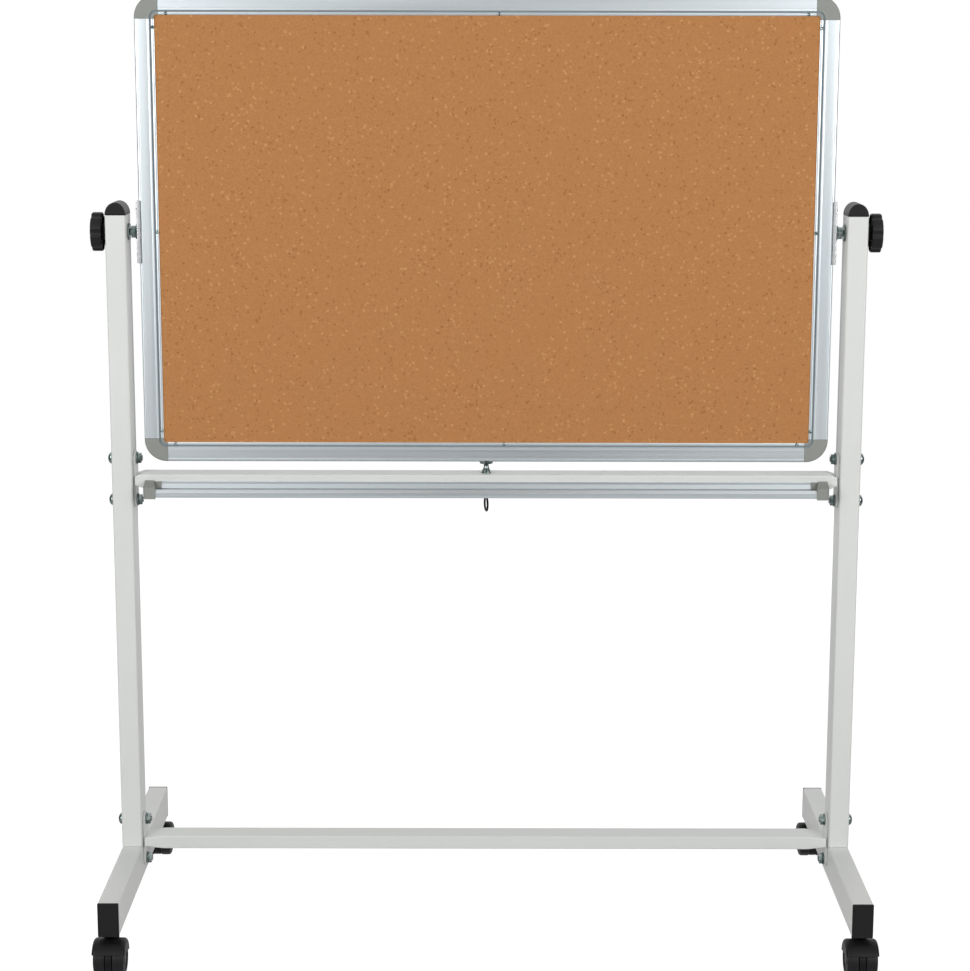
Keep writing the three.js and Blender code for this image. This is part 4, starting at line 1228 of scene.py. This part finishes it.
# %% [markdown]
# A web in the middle carries the axle, and a neck and stem go up into the foot. The wheels are
# turned, with a soft tread edge, a dished face and a hub.

# %% Casters
wheel_radius = 0.025
wheel_wide = 0.017
web_half = 0.0045
web_radius = 0.0243
stem_radius = 0.0055
neck_radius = 0.011
neck_sink = 0.012
neck_edge = 0.0007
stand_high = 0.060
trail = 0.015
axle_radius = 0.003
axle_half = 0.014
tread_inner_round = 0.003
tread_outer_round = 0.0045
wheel_dish = ((0.0188, 0.0020), (0.0086, 0.0028), (0.0080, 0.0012), (0.0066, 0.0008), (0, 0.0006))
wheel_core = 0.0215
hub_radius = 0.0034
hub_sink = 0.0055


def caster_wheel(node, body, x, axle):
    low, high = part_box(node)
    hand = -1 if (low.x + high.x) / 2 < x else 1
    start = min(abs(low.x - x), abs(high.x - x))
    hub_face = wheel_wide - hub_sink
    hub = [(0, hub_face), (hub_radius, hub_face), (hub_radius, 0), (wheel_core, 0)]
    inner = arc((wheel_radius - tread_inner_round, tread_inner_round), tread_inner_round, 300, 360, 4)
    rim = wheel_radius - tread_outer_round
    outer = arc((rim, wheel_wide - tread_outer_round), tread_outer_round, 0, 75, 6)
    face = [(rim, wheel_wide), *[(radius, wheel_wide - depth) for radius, depth in wheel_dish]]
    profile = [(radius, start + place) for radius, place in [*hub, *inner, *outer, *face]]
    finished(f"{node}_disc", turned(profile, 0, (x, *axle), 56, hand), nylon, body, "wheel_plastic", node)


def caster(side, end, way):
    name = f"{side}_{end}"
    low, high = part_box(f"{name}_caster")
    wheel_low, wheel_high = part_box(f"{name}_left_wheel")
    x = (low.x + high.x) / 2
    axle = ((wheel_low.y + wheel_high.y) / 2, (wheel_low.z + wheel_high.z) / 2)
    stem_y = axle[0] - way * trail
    outer = wheel_radius + hood_clear + hood_wall
    shell, rib = hood(x, axle, way, outer, (high.x - low.x) / 2)
    web = drum(web_radius, web_half, web_edge, (x, *axle))
    foot_under = wheel_low.z + stand_high
    top, neck_low = foot_under - seat_gap, foot_under - neck_sink
    neck = turned([(0, neck_low), (neck_radius, neck_low), (neck_radius, top - neck_edge),
                   (neck_radius - neck_edge, top), (stem_radius, top), (stem_radius, high.z),
                   (0, high.z)], 2, (x, stem_y, 0), 32)
    pin = turned([(0, -axle_half), (axle_radius, -axle_half), (axle_radius, axle_half), (0, axle_half)],
                 0, (x, *axle), 20)
    finished(f"{name}_hood", gathered(shell, rib, web, neck, pin), hood_black, f"{name}_swivel_body",
             "black_plastic", f"{name}_caster")
    for wheel in ("left", "right"):
        node = f"{name}_{wheel}_wheel"
        caster_wheel(node, f"{node}_body", x, axle)


for side in ("left", "right"):
    for end, way in (("front", -1), ("back", 1)):
        caster(side, end, way)
print("casters", 4)

# %% [markdown]
# ## Floor and light
# The floor is grey paper for everything but the camera, so that the underside of the object and
# its lower metal see a darker ground, as in a real studio. The camera sees it white, with a
# share of the real shading left in, and that share carries the soft shadow. The rest is
# emission, a little over one, so that the open floor meets the background without a line. A
# smaller share of that glow reaches reflections.

# %% Floor
shadow_share = 0.25
paper_light = 1.26
paper_shine = 0.24


def flat_piece(name, wide, high, place, angles, material):
    bm = bmesh.new()
    bmesh.ops.create_grid(bm, x_segments=1, y_segments=1, size=0.5)
    bmesh.ops.scale(bm, vec=(wide, high, 1), verts=bm.verts)
    for axis, angle in zip("XZ", angles):
        turn = Matrix.Rotation(radians(angle), 3, axis)
        bmesh.ops.rotate(bm, cent=(0, 0, 0), matrix=turn, verts=bm.verts)
    bmesh.ops.translate(bm, vec=place, verts=bm.verts)
    mesh = bpy.data.meshes.new(name)
    bm.to_mesh(mesh)
    bm.free()
    mesh.materials.append(material)
    made = bpy.data.objects.new(name, mesh)
    bpy.context.scene.collection.objects.link(made)
    return made


def paper():
    finish = Finish("paper", roughness=0.9, specular_ior_level=0.1)
    seen = finish.node("ShaderNodeLightPath", output="Is Camera Ray")
    mirrored = finish.node("ShaderNodeLightPath", output="Is Glossy Ray")
    fibre = finish.noise(40, 2)
    ground = finish.blend(fibre, rgb(208, 208, 209), rgb(214, 214, 214))
    finish.give(base_color=finish.blend(seen, ground, rgb(250, 250, 250)))
    glow = finish.node("ShaderNodeEmission", None, strength=paper_light)
    share = seen * (1 - shadow_share) + mirrored * paper_shine
    mix = finish.node("ShaderNodeMixShader", None, share)
    finish.tree.links.new(finish.shader.outputs[0], mix.socket.node.inputs[1])
    finish.tree.links.new(glow.socket, mix.socket.node.inputs[2])
    finish.tree.links.new(mix.socket, finish.tree.nodes["Material Output"].inputs["Surface"])
    return finish.material


floor_side = 80
flat_piece("floor", floor_side, floor_side, (0, 0, 0), (0, 0), paper())
print("floor", floor_side, "m")

# %% [markdown]
# A photographer sets dark cards where bright metal should show a dark tone. One stands behind
# the camera, one hangs overhead and one lies on the floor in front, which is why the rails and
# the tray are darker in the middle than at their ends. Two at the sides darken the edges of
# studs and plates. Only reflections see them.

# %% Dark cards
def dark_card(name, wide, high, place, tilt, turn):
    card = flat_piece(name, wide, high, place, (tilt, turn), black)
    card.visible_camera = False
    card.visible_diffuse = False
    card.visible_shadow = False


card_rows = [
    ("card_behind_camera", 1.1, 4.5, (0, -5.0, 1.8), 90, 0),
    ("card_above", 0.7, 5.0, (0, -2.5, 4.0), 0, 0),
    ("card_left", 1.6, 3.0, (-2.8, 0.1, 1.2), 90, 90),
    ("card_right", 1.6, 3.0, (2.8, 0.1, 1.2), 90, 90),
    ("card_low", 1.8, 3.0, (0, -4.0, 0.02), 0, 0),
]
for row in card_rows:
    dark_card(*row)
print("cards", len(card_rows))

# %% [markdown]
# The world lights everything softly. Two soft boxes stand left and right of the camera, a little
# higher than it, because the fronts are brighter than the tops. They are near enough for the
# light to fall off towards the feet. A third box stands behind the board, so that the whiteboard
# isn't in the dark when it is turned to the front or seen from behind. Reflections don't see that
# one, or the tops of the bars would glare. Metal sees the white background and the dark cards.

# %% World and lamps
def world():
    made = bpy.data.worlds.new("studio")
    bpy.context.scene.world = made
    made.use_nodes = True
    nodes, links = made.node_tree.nodes, made.node_tree.links
    sky = nodes["Background"]
    sky.inputs["Color"].default_value = (1, 1, 1, 1)
    sky.inputs["Strength"].default_value = world_light
    white = nodes.new("ShaderNodeBackground")
    white.inputs["Color"].default_value = (1, 1, 1, 1)
    rays = nodes.new("ShaderNodeLightPath")
    seen = rays.outputs["Is Camera Ray"]
    for kind in ("Is Glossy Ray", "Is Transmission Ray"):
        either = nodes.new("ShaderNodeMath")
        either.operation = "MAXIMUM"
        links.new(seen, either.inputs[0])
        links.new(rays.outputs[kind], either.inputs[1])
        seen = either.outputs[0]
    mix = nodes.new("ShaderNodeMixShader")
    links.new(seen, mix.inputs[0])
    links.new(sky.outputs[0], mix.inputs[1])
    links.new(white.outputs[0], mix.inputs[2])
    links.new(mix.outputs[0], nodes["World Output"].inputs["Surface"])


def lamp(name, place, target, size, power):
    data = bpy.data.lights.new(name, "AREA")
    data.shape = "RECTANGLE"
    data.size, data.size_y = size
    data.energy = power
    made = bpy.data.objects.new(name, data)
    way = Vector(target) - Vector(place)
    made.matrix_world = Matrix.Translation(place) @ way.to_track_quat("-Z", "Y").to_matrix().to_4x4()
    made.visible_camera = False
    bpy.context.scene.collection.objects.link(made)
    return made


world_light = 0.23
front_power = 43
back_power = 26
world()
for name, x in (("left_softbox", -2.0), ("right_softbox", 2.0)):
    lamp(name, (x, -2.3, 1.7), (0, 0, 1.4), (1.5, 1.5), front_power)
back = lamp("back_softbox", (0, 3.2, 0.85), (0, 0, 0.95), (2.0, 1.2), back_power)
back.visible_glossy = False
bpy.context.scene.view_settings.view_transform = "Standard"
print("lamps", 3)
